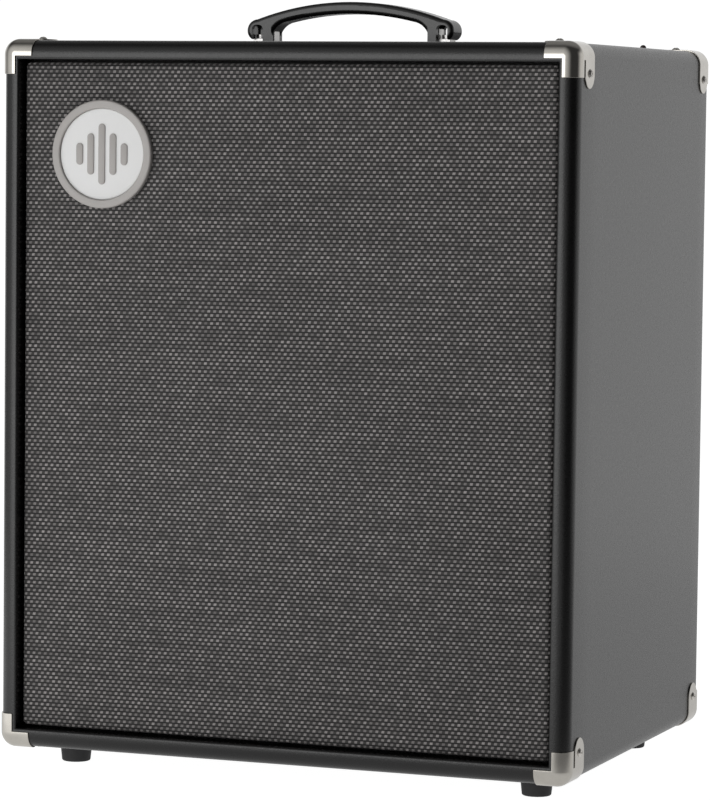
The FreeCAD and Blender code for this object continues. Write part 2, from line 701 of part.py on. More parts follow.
def make_woofer():
    """The woofer, its moving cone group, and its eight screws."""
    rise = FLOOR + WOOFER_RISE
    basket = about_y(BASKET_PROFILE, rise)
    for index in range(BASKET_WINDOWS):
        y = BAFFLE_FRONT + WINDOW_DEPTHS[0]
        near, far = WINDOW_RADII
        slim, wide = WINDOW_HALF_WIDTHS
        points = [V(near, y, -slim), V(far, y, -wide), V(far, y, wide), V(near, y, slim)]
        window = Part.Face(Part.makePolygon(points + points[:1]))
        window = window.extrude(Y_AXIS * (WINDOW_DEPTHS[1] - WINDOW_DEPTHS[0]))
        window.rotate(V(0, 0, 0), Y_AXIS, 360 * index / BASKET_WINDOWS)
        window.translate(V(0, 0, rise))
        basket = basket.cut(window)
    screws = []
    for index in range(WOOFER_SCREWS):
        angle = math.radians(360 * (index + 0.5) / WOOFER_SCREWS)
        x = WOOFER_SCREW_CIRCLE * math.cos(angle)
        z = rise + WOOFER_SCREW_CIRCLE * math.sin(angle)
        seat = V(x, BAFFLE_FRONT - FLANGE_THICKNESS, z)
        shank = rod(WOOFER_SCREW_RADIUS, seat, Y_AXIS, WOOFER_SCREW_LENGTH)
        head = rod(WOOFER_SCREW_HEAD_RADIUS, seat, Y_AXIS * -1, WOOFER_SCREW_HEAD_HEIGHT)
        screws.append(shank.fuse(head).removeSplitter())

    def ring(radii, depths):
        start = V(0, BAFFLE_FRONT + depths[0], rise)
        return tube(radii, start, Y_AXIS, depths[1] - depths[0])

    back_plate = ring((VENT_RADIUS, BACK_PLATE_RADIUS), BACK_PLATE_DEPTHS)
    pole = ring((VENT_RADIUS, POLE_RADIUS), (POLE_DEPTH, BACK_PLATE_DEPTHS[0]))
    wall_run = BASKET_WALL_BACK[1] - BASKET_WALL_FRONT[1]
    wall_slope = (BASKET_WALL_FRONT[0] - BASKET_WALL_BACK[0]) / wall_run
    spider_back = SPIDER_DEPTH + SPIDER_THICKNESS
    spider_radius = BASKET_WALL_FRONT[0] - (spider_back - BASKET_WALL_FRONT[1]) * wall_slope
    nodes = {
        "woofer_basket": basket.cut(screws),
        "woofer_top_plate": ring(TOP_PLATE_RADII, TOP_PLATE_DEPTHS),
        "woofer_magnet": ring(MAGNET_RADII, MAGNET_DEPTHS),
        "woofer_pole_plate": joined([back_plate, pole]),
        "woofer_cone": about_y(CONE_PROFILE, rise),
        "woofer_voice_coil": ring((COIL_INNER_RADIUS, COIL_OUTER_RADIUS), COIL_DEPTHS),
        "woofer_dust_cap": dust_cap(rise),
        "woofer_surround": surround(rise),
        "woofer_spider": ring((SPIDER_INNER_RADIUS, spider_radius), (SPIDER_DEPTH, spider_back)),
        "woofer_screws": Part.makeCompound(screws),
    }
    return nodes, screws


def dust_cap(rise):
    """A thin domed disc glued over the middle of the cone."""
    ball_radius = (DUST_CAP_RADIUS**2 + DUST_CAP_RISE**2) / (2 * DUST_CAP_RISE)
    rim_y = BAFFLE_FRONT + DUST_CAP_DEPTH
    centre = V(0, rim_y - DUST_CAP_RISE + ball_radius, rise)
    hollow = Part.makeSphere(ball_radius - DUST_CAP_THICKNESS, centre)
    shell = Part.makeSphere(ball_radius, centre).cut(hollow)
    return shell.common(rod(DUST_CAP_RADIUS, V(0, rim_y, rise), Y_AXIS * -1, OVERSHOOT))


def surround(rise):
    """The half-round rubber roll between the cone's edge and the basket."""
    inner = CONE_RADIUS + SURROUND_CLEARANCE
    outer = SURROUND_OUTER_RADIUS
    middle = (inner + outer) / 2
    base = BAFFLE_FRONT + SURROUND_SEAT_DEPTH

    def at(radius, out):
        return V(radius, base - out, rise)

    roll = (outer - inner) / 2
    thin = SURROUND_THICKNESS
    edges = [
        Part.Arc(at(inner, 0), at(middle, roll), at(outer, 0)).toShape(),
        Part.LineSegment(at(outer, 0), at(outer - thin, 0)).toShape(),
        Part.Arc(at(outer - thin, 0), at(middle, roll - thin), at(inner + thin, 0)).toShape(),
        Part.LineSegment(at(inner + thin, 0), at(inner, 0)).toShape(),
    ]
    half_roll = Part.Face(Part.Wire(edges)).revolve(V(0, 0, rise), Y_AXIS, 360)
    lip = tube((outer - thin, SURROUND_LIP_RADIUS), V(0, base, rise), Y_AXIS * -1, thin)
    return half_roll.fuse(lip).removeSplitter()


def make_ports():
    """Two moulded port tubes with front flanges."""
    ports = []
    for side in (-1, 1):
        mouth = V(side * PORT_X, BAFFLE_FRONT, FLOOR + PORT_RISE)
        pipe = tube((PORT_RADIUS, PORT_RADIUS + PORT_WALL), mouth, Y_AXIS, PORT_LENGTH)
        flange = tube((PORT_RADIUS, PORT_FLANGE_RADIUS), mouth, Y_AXIS * -1, PORT_FLANGE_THICKNESS)
        ports.append(pipe.fuse(flange).removeSplitter())
    return ports


def make_baffle(cutters):
    """The baffle board, cut out for the woofer and the two ports."""
    board = block((-INNER_X, INNER_X), (BAFFLE_FRONT, BAFFLE_REAR), (INNER_LOW, INNER_HIGH))
    holes = [rod(CUTOUT_RADIUS, V(0, BAFFLE_FRONT, FLOOR + WOOFER_RISE), Y_AXIS, BAFFLE)]
    for side in (-1, 1):
        mouth = V(side * PORT_X, BAFFLE_FRONT, FLOOR + PORT_RISE)
        holes.append(rod(PORT_RADIUS + PORT_WALL, mouth, Y_AXIS, BAFFLE))
    return board.cut(holes + cutters)


def jack_socket(seat, out):
    """A quarter inch jack socket behind a steel panel whose inner face is at seat."""
    into = out * -1
    solid = joined([
        rod(JACK_BODY_RADIUS, seat, into, JACK_BODY_LENGTH),
        rod(JACK_BUSH_RADIUS, seat, out, JACK_BUSH_LENGTH),
        hexagon(seat + out * PANEL_STEEL, out, JACK_NUT_ACROSS_CORNERS, JACK_NUT_HEIGHT),
    ])
    mouth = seat + out * JACK_BUSH_LENGTH
    return solid.cut(rod(JACK_BORE_RADIUS, mouth, into, JACK_BUSH_LENGTH + JACK_BORE_DEPTH))


def make_controls():
    """The control panel with its knobs, potentiometers, button and two jack sockets."""
    panel = block(
        (-CHASSIS_WIDTH / 2, CHASSIS_WIDTH / 2),
        (RECESS_Y - CHASSIS_DEPTH / 2, RECESS_Y + CHASSIS_DEPTH / 2),
        (CONTROL_BACK, CONTROL_FACE),
    )
    nodes = {}
    holes = []
    pots = []
    for index, name in enumerate(KNOB_NAMES):
        x = (index - (len(KNOB_NAMES) - 1) / 2) * KNOB_PITCH
        under = V(x, RECESS_Y, CONTROL_BACK)
        pots.append(joined([
            rod(POT_RADIUS, under, Z_AXIS * -1, POT_HEIGHT),
            rod(POT_BUSH_RADIUS, under, Z_AXIS, POT_BUSH_HEIGHT),
            rod(POT_NUT_RADIUS, under + V(0, 0, PANEL_STEEL), Z_AXIS, POT_NUT_HEIGHT),
            rod(POT_SHAFT_RADIUS, under, Z_AXIS, POT_SHAFT_HEIGHT),
        ]))
        holes.append(rod(POT_BUSH_RADIUS, under, Z_AXIS, PANEL_STEEL))
        base = V(x, RECESS_Y, CONTROL_FACE + KNOB_GAP)
        knob = Part.makeCone(KNOB_BASE_RADIUS, KNOB_TOP_RADIUS, KNOB_HEIGHT, base)
        knob_top = base.z + KNOB_HEIGHT
        crown = [edge for edge in knob.Edges if edge.BoundBox.ZMin > knob_top - SAME]
        knob = knob.makeFillet(KNOB_FILLET, crown)
        sunk = KNOB_BORE_CLEARANCE - PANEL_STEEL - KNOB_GAP
        bush_room = rod(POT_BUSH_RADIUS + KNOB_BORE_CLEARANCE, base, Z_AXIS, POT_BUSH_HEIGHT + sunk)
        shaft_room = rod(POT_SHAFT_RADIUS + KNOB_SHAFT_PLAY, base, Z_AXIS, POT_SHAFT_HEIGHT + sunk)
        pointer = block(
            (x - KNOB_POINTER_WIDTH / 2, x + KNOB_POINTER_WIDTH / 2),
            (RECESS_Y - KNOB_TOP_RADIUS, RECESS_Y - KNOB_POINTER_INNER),
            (knob_top - KNOB_POINTER_DEPTH, knob_top),
        )
        nodes[name] = knob.cut([bush_room, shaft_room, pointer])
    button_base = V(BUTTON_X, RECESS_Y, CONTROL_FACE + BUTTON_GAP)
    cap = rod(BUTTON_RADIUS, button_base, Z_AXIS, BUTTON_HEIGHT)
    button_top = button_base.z + BUTTON_HEIGHT
    crown = [edge for edge in cap.Edges if edge.BoundBox.ZMin > button_top - SAME]
    cap = cap.makeFillet(BUTTON_FILLET, crown)
    stem = rod(BUTTON_STEM_RADIUS, button_base, Z_AXIS * -1, BUTTON_STEM_LENGTH)
    nodes["mute_button"] = cap.fuse(stem).removeSplitter()
    holes.append(rod(BUTTON_HOLE_RADIUS, V(BUTTON_X, RECESS_Y, CONTROL_BACK), Z_AXIS, PANEL_STEEL))
    jacks = []
    for side in (-1, 1):
        seat = V(side * TOP_JACK_X, RECESS_Y, CONTROL_BACK)
        jacks.append(jack_socket(seat, Z_AXIS))
        holes.append(rod(JACK_BUSH_RADIUS, seat, Z_AXIS, PANEL_STEEL))
    nodes["control_panel"] = panel.cut(holes)
    nodes["potentiometers"] = Part.makeCompound(pots)
    return nodes, jacks


def make_electronics():
    """The open-topped chassis tray, the circuit board on its pillars, and the transformer."""
    steel = CHASSIS_STEEL
    half_x = CHASSIS_WIDTH / 2
    low_y = RECESS_Y - CHASSIS_DEPTH / 2
    high_y = RECESS_Y + CHASSIS_DEPTH / 2
    tray = block((-half_x, half_x), (low_y, high_y), (CHASSIS_BASE, CONTROL_BACK))
    hollow = block(
        (-half_x + steel, half_x - steel),
        (low_y + steel, high_y - steel),
        (CHASSIS_BASE + steel, CONTROL_BACK),
    )
    window = block(
        (-REAR_CUTOUT_WIDTH / 2, REAR_CUTOUT_WIDTH / 2),
        (high_y - 2 * steel, high_y + steel),
        (PLATE_Z - REAR_CUTOUT_HEIGHT / 2, CONTROL_BACK),
    )
    board_top = CONTROL_BACK - BOARD_DROP
    board_base = board_top - CIRCUIT_BOARD
    parts = [block(
        (-BOARD_HALF_WIDTH, BOARD_HALF_WIDTH),
        (RECESS_Y - BOARD_HALF_DEPTH, RECESS_Y + BOARD_HALF_DEPTH),
        (board_base, board_top),
    )]
    pillar_x = BOARD_HALF_WIDTH - PILLAR_INSET
    pillar_y = BOARD_HALF_DEPTH - PILLAR_INSET
    pillar_height = CIRCUIT_BOARD + BOARD_DROP
    for x in (-pillar_x, pillar_x):
        for y in (RECESS_Y - pillar_y, RECESS_Y + pillar_y):
            parts.append(rod(PILLAR_RADIUS, V(x, y, board_base), Z_AXIS, pillar_height))
    down = Z_AXIS * -1
    for x in CAPACITOR_X:
        for y in CAPACITOR_Y:
            parts.append(rod(CAPACITOR_RADIUS, V(x, RECESS_Y + y, board_base), down, CAPACITOR_HEIGHT))
    toroid_base = V(0, RECESS_Y, CHASSIS_BASE + steel)
    toroid = tube(TOROID_RADII, toroid_base, Z_AXIS, TOROID_HEIGHT)
    outer_rims = [
        edge for edge in toroid.Edges
        if edge.BoundBox.XMax > TOROID_RADII[1] - SAME and edge.BoundBox.ZLength < SAME
    ]
    return {
        "amp_chassis": tray.cut([hollow, window]),
        "circuit_board": joined(parts),
        "power_transformer": toroid.makeFillet(TOROID_FILLET, outer_rims),
    }


def centred_on_plate(x, sizes, start, length):
    """A box centred at x on the connector plate, running along Y from start."""
    return block(
        (x - sizes[0] / 2, x + sizes[0] / 2),
        sorted((start, start + length)),
        (PLATE_Z - sizes[1] / 2, PLATE_Z + sizes[1] / 2),
    )


def make_rocker_switch():
    """The mains switch: a housing with a round pocket, and a rocker that tips in it."""
    pivot = V(SWITCH_X, PLATE_FACE + ROCKER_PIVOT_OUT, PLATE_Z)
    half = ROCKER_WIDTH / 2
    housing = centred_on_plate(SWITCH_X, SWITCH_FLANGE, PLATE_FACE, SWITCH_FLANGE[2])
    housing = housing.fuse(centred_on_plate(SWITCH_X, SWITCH_BODY, PLATE_FACE, -SWITCH_BODY[2]))
    room = ROCKER_PLAY
    pocket_start = pivot - X_AXIS * (half + room)
    pocket = rod(ROCKER_RADIUS + room, pocket_start, X_AXIS, ROCKER_WIDTH + 2 * room)
    pin_span = ROCKER_WIDTH + 2 * PIVOT_LENGTH
    bearing_span = pin_span + 2 * PIVOT_END_PLAY
    bearing_start = pivot - X_AXIS * (bearing_span / 2)
    bearing = rod(PIVOT_RADIUS + PIVOT_PLAY, bearing_start, X_AXIS, bearing_span)
    housing = housing.cut([pocket, bearing]).removeSplitter()
    drum = rod(ROCKER_RADIUS, pivot - X_AXIS * half, X_AXIS, ROCKER_WIDTH)
    crown = PLATE_FACE + ROCKER_FACE_OUT
    rise = ROCKER_RADIUS * math.tan(math.radians(ROCKER_DISH))
    outline = [
        V(SWITCH_X - half, crown, PLATE_Z),
        V(SWITCH_X - half, crown + 2 * rise, PLATE_Z + 2 * ROCKER_RADIUS),
        V(SWITCH_X - half, crown + 4 * ROCKER_RADIUS, PLATE_Z + 2 * ROCKER_RADIUS),
        V(SWITCH_X - half, crown + 4 * ROCKER_RADIUS, PLATE_Z - 2 * ROCKER_RADIUS),
        V(SWITCH_X - half, crown + 2 * rise, PLATE_Z - 2 * ROCKER_RADIUS),
    ]
    dish = Part.Face(Part.makePolygon(outline + outline[:1])).extrude(X_AXIS * ROCKER_WIDTH)
    rocker = drum.cut(dish).fuse(rod(PIVOT_RADIUS, pivot - X_AXIS * (pin_span / 2), X_AXIS, pin_span))
    rocker = rocker.removeSplitter()
    rocker.rotate(pivot, X_AXIS, -ROCKER_TILT)
    return {"power_switch_housing": housing, "power_rocker": rocker}


def make_rear():
    """The rear panel, its connector plate, the mains inlet, the switch and two jack sockets."""
    inlet = joined([
        centred_on_plate(INLET_X, INLET_FLANGE, PLATE_FACE, INLET_FLANGE[2]),
        centred_on_plate(INLET_X, INLET_BODY, PLATE_FACE, -INLET_BODY[2]),
    ])
    mouth = PLATE_FACE + INLET_FLANGE[2]
    inlet = inlet.cut(centred_on_plate(INLET_X, INLET_SOCKET, mouth, -INLET_SOCKET[2]))
    blades = []
    floor_y = mouth - INLET_SOCKET[2]
    for x, z in INLET_BLADE_PLACES:
        blade = block(
            (INLET_X + x - INLET_BLADE[0] / 2, INLET_X + x + INLET_BLADE[0] / 2),
            (floor_y, floor_y + INLET_BLADE[2]),
            (PLATE_Z + z - INLET_BLADE[1] / 2, PLATE_Z + z + INLET_BLADE[1] / 2),
        )
        blades.append(blade)
    nodes = {"mains_inlet": joined([inlet] + blades)}
    nodes.update(make_rocker_switch())
    plate = centred_on_plate(0.0, (PLATE_WIDTH, PLATE_HEIGHT), REAR_FACE, PANEL_STEEL)
    holes = [
        centred_on_plate(INLET_X, INLET_BODY, REAR_FACE, PANEL_STEEL),
        centred_on_plate(SWITCH_X, SWITCH_BODY, REAR_FACE, PANEL_STEEL),
    ]
    jacks = []
    for x in REAR_JACK_PLACES:
        seat = V(x, REAR_FACE, PLATE_Z)
        jacks.append(jack_socket(seat, Y_AXIS))
        holes.append(rod(JACK_BUSH_RADIUS, seat, Y_AXIS, PANEL_STEEL))
    nodes["rear_connector_plate"] = plate.cut(holes)
    screws = []
    screw_x = WIDTH / 2 - REAR_SCREW_INSET
    for rise in REAR_SCREW_RISES:
        for side in (-1, 1):
            screws.append(wood_screw(V(side * screw_x, REAR_FACE, FLOOR + rise), Y_AXIS))
    for x in REAR_SCREW_BOTTOM_X:
        screws.append(wood_screw(V(x, REAR_FACE, FLOOR + REAR_SCREW_INSET), Y_AXIS))
    panel = block((-INNER_X, INNER_X), (REAR_INSIDE, REAR_FACE), (INNER_LOW, INNER_HIGH))
    opening = centred_on_plate(0.0, (REAR_CUTOUT_WIDTH, REAR_CUTOUT_HEIGHT), REAR_INSIDE, REAR_PANEL)
    nodes["rear_panel"] = panel.cut([opening] + screws)
    return nodes, jacks, screws


def pilot_lamp():
    """A domed lamp in a round bezel, through the top panel beside the recess."""
    seat = V(LAMP_X, LAMP_Y, TOP)
    crown = seat + V(0, 0, LAMP_BEZEL_HEIGHT)
    dome = Part.makeSphere(LAMP_DOME_RADIUS, crown)
    dome = dome.common(rod(OVERSHOOT, crown, Z_AXIS, OVERSHOOT))
    return joined([
        rod(LAMP_BODY_RADIUS, seat, Z_AXIS * -1, LAMP_BODY_LENGTH),
        rod(LAMP_BEZEL_RADIUS, seat, Z_AXIS, LAMP_BEZEL_HEIGHT),
        dome,
    ])


def make_amplifier():
    """Every node of the amplifier, by name."""
    nodes, wood_screws = make_corners()
    feet, foot_screws = make_feet()
    handle, handle_bolts = make_handle()
    woofer, woofer_screws = make_woofer()
    controls, top_jacks = make_controls()
    rear, rear_jacks, rear_screws = make_rear()
    wood_screws += rear_screws
    lamp = pilot_lamp()
    nodes.update(feet)
    nodes.update(handle)
    nodes.update(woofer)
    nodes.update(controls)
    nodes.update(rear)
    nodes.update(make_grille())
    nodes.update(make_electronics())
    nodes.update(make_cabinet(wood_screws + foot_screws + handle_bolts + [lamp]))
    nodes["front_baffle"] = make_baffle(woofer_screws)
    nodes["pilot_lamp"] = lamp
    nodes["port_tubes"] = Part.makeCompound(make_ports())
    nodes["wood_screws"] = Part.makeCompound(wood_screws)
    nodes["foot_screws"] = Part.makeCompound(foot_screws)
    nodes["handle_bolts"] = Part.makeCompound(handle_bolts)
    nodes["jack_sockets"] = Part.makeCompound(top_jacks + rear_jacks)
    return nodes


os.makedirs("parts", exist_ok=True)
amplifier = make_amplifier()
for name in sorted(amplifier):
    shape = amplifier[name]
    if not shape.isValid():
        print("not valid:", name)
    shape.exportStep(f"parts/{name}.step")
print(len(amplifier), "nodes")
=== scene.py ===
import math

import bmesh
import bpy
from mathutils import Matrix, Vector


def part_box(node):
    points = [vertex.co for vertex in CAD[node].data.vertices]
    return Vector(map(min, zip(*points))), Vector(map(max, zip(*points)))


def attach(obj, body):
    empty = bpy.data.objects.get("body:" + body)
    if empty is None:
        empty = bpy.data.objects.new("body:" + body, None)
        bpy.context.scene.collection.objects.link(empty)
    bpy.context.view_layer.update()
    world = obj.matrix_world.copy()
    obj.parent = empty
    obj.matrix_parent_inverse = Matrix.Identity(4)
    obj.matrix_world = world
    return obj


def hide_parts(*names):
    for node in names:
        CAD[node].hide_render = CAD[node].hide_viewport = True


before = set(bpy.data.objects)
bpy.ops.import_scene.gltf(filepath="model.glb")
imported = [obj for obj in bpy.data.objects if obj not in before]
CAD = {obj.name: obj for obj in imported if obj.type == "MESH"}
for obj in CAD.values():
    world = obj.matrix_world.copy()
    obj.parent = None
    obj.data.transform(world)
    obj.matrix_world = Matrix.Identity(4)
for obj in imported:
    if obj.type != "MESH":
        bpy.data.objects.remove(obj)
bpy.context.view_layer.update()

# A bass combo amplifier. Lengths below are millimetres in the CAD frame: X to the right, Y from
# front to rear, Z up from the floor. Meshes are made in metres with MM.

MM = 0.001
scene = bpy.context.scene

# ---------------------------------------------------------------- sizes shared with the CAD

HALF_X = 250.0
HALF_Y = 193.0
LOW_Z = 18.0
HIGH_Z = 608.0
MIDDLE_Z = (LOW_Z + HIGH_Z) / 2
HALF_Z = (HIGH_Z - LOW_Z) / 2
EDGE_R = 12.0
WALL = 16.0
LIP_R = 2.0
LINING_FRONT = -164.2
LINING_REAR = 183.0
RECESS_HALF_X = 200.0
RECESS_HALF_Y = 46.0
RECESS_Y = 110.0
RECESS_FLOOR = 592.6
RECESS_LIP = 1.5
PANEL_TOP = 592.5
FOOT_X = 205.5
FOOT_Y = 133.0

CLOTH_HALF_X = 231.8
CLOTH_HALF_Z = 276.8
CLOTH_FRONT = -185.0
CLOTH_BACK = -164.4
CLOTH_EDGE_R = 4.0
WEAVE_ROW = 3.3
WEAVE_DASH = 5.2
WEAVE_HEIGHT = 0.32
# The dark gap round a dash, how far a dash leans as a share of its length, and the squeeze
# along a row, which widens the gaps at the ends of the dashes.
WEAVE_GAP = 0.76
WEAVE_LEAN = -0.12
WEAVE_SQUEEZE = 0.45
# How far the base of the raised weave lies behind the front of the CAD cloth.
CLOTH_SUNK = 0.15

BADGE_X = -160.3
BADGE_Z = 514.7

KNOBS = ("gain_knob", "bass_knob", "middle_knob", "treble_knob", "master_knob")
KNOB_PITCH = 50.0
KNOB_BASE = 595.0
KNOB_X = [(index - 2) * KNOB_PITCH for index in range(len(KNOBS))]

MUTE_X = 135.0
PANEL_JACK_X = (-172.0, 172.0)
REAR_JACK_X = (45.0, 85.0)
REAR_JACK_Z = 562.0


# ---------------------------------------------------------------- node helpers

class Nodes:
    """A small builder for one material's node tree."""

    def __init__(self, name):
        self.material = bpy.data.materials.new(name)
        self.material.use_nodes = True
        self.tree = self.material.node_tree
        self.tree.nodes.clear()
        self.output = self.add("ShaderNodeOutputMaterial")
        self.shader = self.add("ShaderNodeBsdfPrincipled")
        self.link(self.shader, "BSDF", self.output, "Surface")
        self.place = self.add("ShaderNodeTexCoord").outputs["Object"]

    def add(self, kind, **settings):
        node = self.tree.nodes.new(kind)
        for key, value in settings.items():
            setattr(node, key, value)
        return node

    def link(self, source, output, target, name):
        self.tree.links.new(source.outputs[output], target.inputs[name])

    def join(self, socket, target, name):
        self.tree.links.new(socket, target.inputs[name])

    def set(self, **values):
        for key, value in values.items():
            socket = self.shader.inputs[key.replace("_", " ")]
            socket.default_value = value

    def noise(self, scale, detail=4.0, roughness=0.55, place=None):
        node = self.add("ShaderNodeTexNoise")
        node.inputs["Scale"].default_value = scale
        node.inputs["Detail"].default_value = detail
        node.inputs["Roughness"].default_value = roughness
        self.join(place or self.place, node, "Vector")
        return node.outputs["Fac"]

    def voronoi(self, scale, feature):
        node = self.add("ShaderNodeTexVoronoi", feature=feature)
        node.inputs["Scale"].default_value = scale
        self.join(self.place, node, "Vector")
        return node.outputs["Distance"]

    def stretched(self, scale):
        node = self.add("ShaderNodeMapping")
        node.inputs["Scale"].default_value = scale
        self.join(self.place, node, "Vector")
        return node.outputs["Vector"]

    def ramp(self, socket, stops):
        node = self.add("ShaderNodeValToRGB")
        elements = node.color_ramp.elements
        while len(elements) < len(stops):
            elements.new(0.5)
        for element, (position, color) in zip(elements, stops):
            element.position = position
            element.color = (*color, 1.0)
        self.join(socket, node, "Fac")
        return node.outputs["Color"]

    def maths(self, operation, a, b=None):
        node = self.add("ShaderNodeMath", operation=operation)
        for slot, value in enumerate((a, b)):
            if value is None:
                continue
            if isinstance(value, (int, float)):
                node.inputs[slot].default_value = value
            else:
                self.tree.links.new(value, node.inputs[slot])
        return node.outputs[0]

    def bump(self, height, distance, strength):
        node = self.add("ShaderNodeBump")
        node.inputs["Strength"].default_value = strength
        node.inputs["Distance"].default_value = distance
        self.join(height, node, "Height")
        return node.outputs["Normal"]

    def color(self, socket):
        self.join(socket, self.shader, "Base Color")

    def rough(self, socket, low, high):
        node = self.add("ShaderNodeMapRange")
        node.inputs["To Min"].default_value = low
        node.inputs["To Max"].default_value = high
        self.join(socket, node, "Value")
        self.join(node.outputs["Result"], self.shader, "Roughness")

    def normal(self, socket):
        self.join(socket, self.shader, "Normal")


def grey(value):
    return (value, value, value)


# ---------------------------------------------------------------- materials

def vinyl():
    """Black vinyl covering: a fine pebbled grain with slight changes of gloss."""
    n = Nodes("black_vinyl")
    cells = n.voronoi(900.0, "SMOOTH_F1")
    fine = n.noise(2600.0, 3.0)
    broad = n.noise(14.0, 3.0)
    height = n.maths("ADD", cells, n.maths("MULTIPLY", fine, 0.5))
    n.color(n.ramp(broad, [(0.3, (0.0018, 0.0017, 0.0018)), (0.7, (0.0030, 0.0028, 0.0029))]))
    n.rough(n.noise(320.0, 4.0), 0.22, 0.34)
    n.normal(n.bump(height, 0.00014, 0.45))
    n.set(Specular_IOR_Level=0.5)
    return n.material


def cloth():
    """Woven grille cloth: short light dashes in staggered rows over black threads."""
    n = Nodes("grille_cloth")
    split = n.add("ShaderNodeSeparateXYZ")
    n.join(n.place, split, "Vector")
    row = WEAVE_ROW * MM
    dash = WEAVE_DASH * MM
    z = split.outputs["Z"]
    in_row = n.maths("SUBTRACT", n.maths("FRACT", n.maths("DIVIDE", z, row)), 0.5)
    lean = n.maths("MULTIPLY", in_row, WEAVE_LEAN * dash)
    x = n.maths("ADD", n.maths("ADD", split.outputs["X"], 100 * dash), lean)
    flat = n.add("ShaderNodeCombineXYZ")
    n.join(n.maths("MULTIPLY", x, WEAVE_SQUEEZE), flat, "X")
    n.join(z, flat, "Y")
    between = n.ramp(n.maths("ABSOLUTE", in_row),
                     [(0.22, (0.050, 0.047, 0.046)), (0.42, (0.008, 0.0075, 0.0075))])
    brick = n.add("ShaderNodeTexBrick", offset=0.5, offset_frequency=2, squash=1.0)
    for name, value in (("Scale", 1.0), ("Mortar Size", WEAVE_GAP * MM), ("Mortar Smooth", 0.35),
                        ("Bias", 0.0), ("Brick Width", dash * WEAVE_SQUEEZE), ("Row Height", row)):
        brick.inputs[name].default_value = value
    brick.inputs["Color1"].default_value = (0.360, 0.338, 0.333, 1.0)
    brick.inputs["Color2"].default_value = (0.165, 0.156, 0.153, 1.0)
    n.join(between, brick, "Mortar")
    n.join(flat.outputs["Vector"], brick, "Vector")
    strands = n.noise(1.0, 2.0, 0.5, n.stretched((900.0, 900.0, 3600.0)))
    patch = n.noise(9.0, 3.0)
    streaks = n.noise(1.0, 3.0, 0.6, n.stretched((7.0, 7.0, 1 / (2 * row))))
    shade = n.ramp(n.maths("MULTIPLY", n.maths("ADD", strands, streaks), 0.5),
                   [(0.35, grey(0.62)), (0.62, grey(1.0))])
    tone = n.add("ShaderNodeMix", data_type="RGBA", blend_type="MULTIPLY")
    tone.inputs["Factor"].default_value = 1.0
    slots = [s for s in tone.inputs if s.type == "RGBA"]
    n.tree.links.new(brick.outputs["Color"], slots[0])
    n.tree.links.new(shade, slots[1])
    woven = [s for s in tone.outputs if s.type == "RGBA"][0]
    n.color(woven)
    n.rough(patch, 0.62, 0.78)
    crowns = n.maths("SUBTRACT", 1.0, brick.outputs["Fac"])
    height = n.maths("ADD", crowns, n.maths("MULTIPLY", strands, 0.35))
    n.normal(n.bump(height, 0.0004, 0.6))
    n.set(Specular_IOR_Level=0.35, Sheen_Weight=0.08, Sheen_Roughness=0.5)
    return n.material


def metal(name, base, low, high):
    """Plated or bare metal with faint polishing variation."""
    n = Nodes(name)
    stain = n.noise(60.0, 5.0)
    scratch = n.noise(1.0, 3.0, 0.6, n.stretched((420.0, 2520.0, 420.0)))
    darker = tuple(c * 0.82 for c in base)
    n.color(n.ramp(stain, [(0.25, darker), (0.75, base)]))
    n.rough(scratch, low, high)
    n.normal(n.bump(scratch, 0.00002, 0.4))
    n.set(Metallic=1.0)
    return n.material


def plastic(name, base, low, high, grain=1400.0, bump=0.00004, spread=0.12):
    """Moulded plastic, rubber, paint or ferrite with a fine surface grain."""
    n = Nodes(name)
    broad = n.noise(30.0, 4.0)
    fine = n.noise(grain, 3.0)
    n.color(n.ramp(broad, [(0.3, tuple(c * (1 - spread) for c in base)), (0.7, base)]))
    n.rough(n.noise(220.0, 3.0), low, high)
    n.normal(n.bump(fine, bump, 0.5))
    return n.material


def wood(name, light, dark, across):
    """Plywood or board with grain along one direction."""
    n = Nodes(name)
    rings = n.noise(1.0, 6.0, 0.6, n.stretched(across))
    n.color(n.ramp(rings, [(0.35, dark), (0.65, light)]))
    n.rough(rings, 0.55, 0.8)
    n.normal(n.bump(rings, 0.0002, 0.4))
    return n.material


def fabric(name, light, dark, scale):
    """Woven spider fabric or pressed paper fibre."""
    n = Nodes(name)
    fibres = n.noise(scale, 6.0, 0.7)
    n.color(n.ramp(fibres, [(0.35, dark), (0.65, light)]))
    n.rough(fibres, 0.7, 0.9)
    n.normal(n.bump(fibres, 0.0002, 0.6))
    return n.material


VINYL = vinyl()
CLOTH = cloth()
NICKEL = metal("nickel", (0.56, 0.535, 0.49), 0.07, 0.16)
SCREW = metal("screw_steel", (0.72, 0.69, 0.65), 0.18, 0.34)
PLATED = metal("plated_steel", (0.62, 0.61, 0.60), 0.28, 0.42)
COIL = metal("coil_aluminium", (0.70, 0.70, 0.71), 0.3, 0.45)
BADGE_GREY = plastic("badge_grey", (0.385, 0.365, 0.35), 0.34, 0.46, 900.0, 0.00002, 0.05)
BADGE_WHITE = plastic("badge_white", (0.74, 0.74, 0.735), 0.3, 0.42, 700.0, 0.00002, 0.03)
HANDLE = plastic("handle_plastic", (0.0060, 0.0057, 0.0056), 0.16, 0.27, 1500.0, 0.00003)
RUBBER = plastic("foot_rubber", (0.02, 0.02, 0.021), 0.55, 0.75, 1100.0, 0.00006)
SWITCH = plastic("switch_plastic", (0.016, 0.016, 0.017), 0.3, 0.45)
KNOB = plastic("knob_plastic", (0.02, 0.02, 0.021), 0.28, 0.42)
PORT = plastic("port_plastic", (0.02, 0.02, 0.02), 0.5, 0.7)
SURROUND = plastic("surround_rubber", (0.018, 0.018, 0.018), 0.5, 0.7)
PANEL = plastic("panel_paint", (0.028, 0.028, 0.03), 0.4, 0.55, 2200.0, 0.00005)
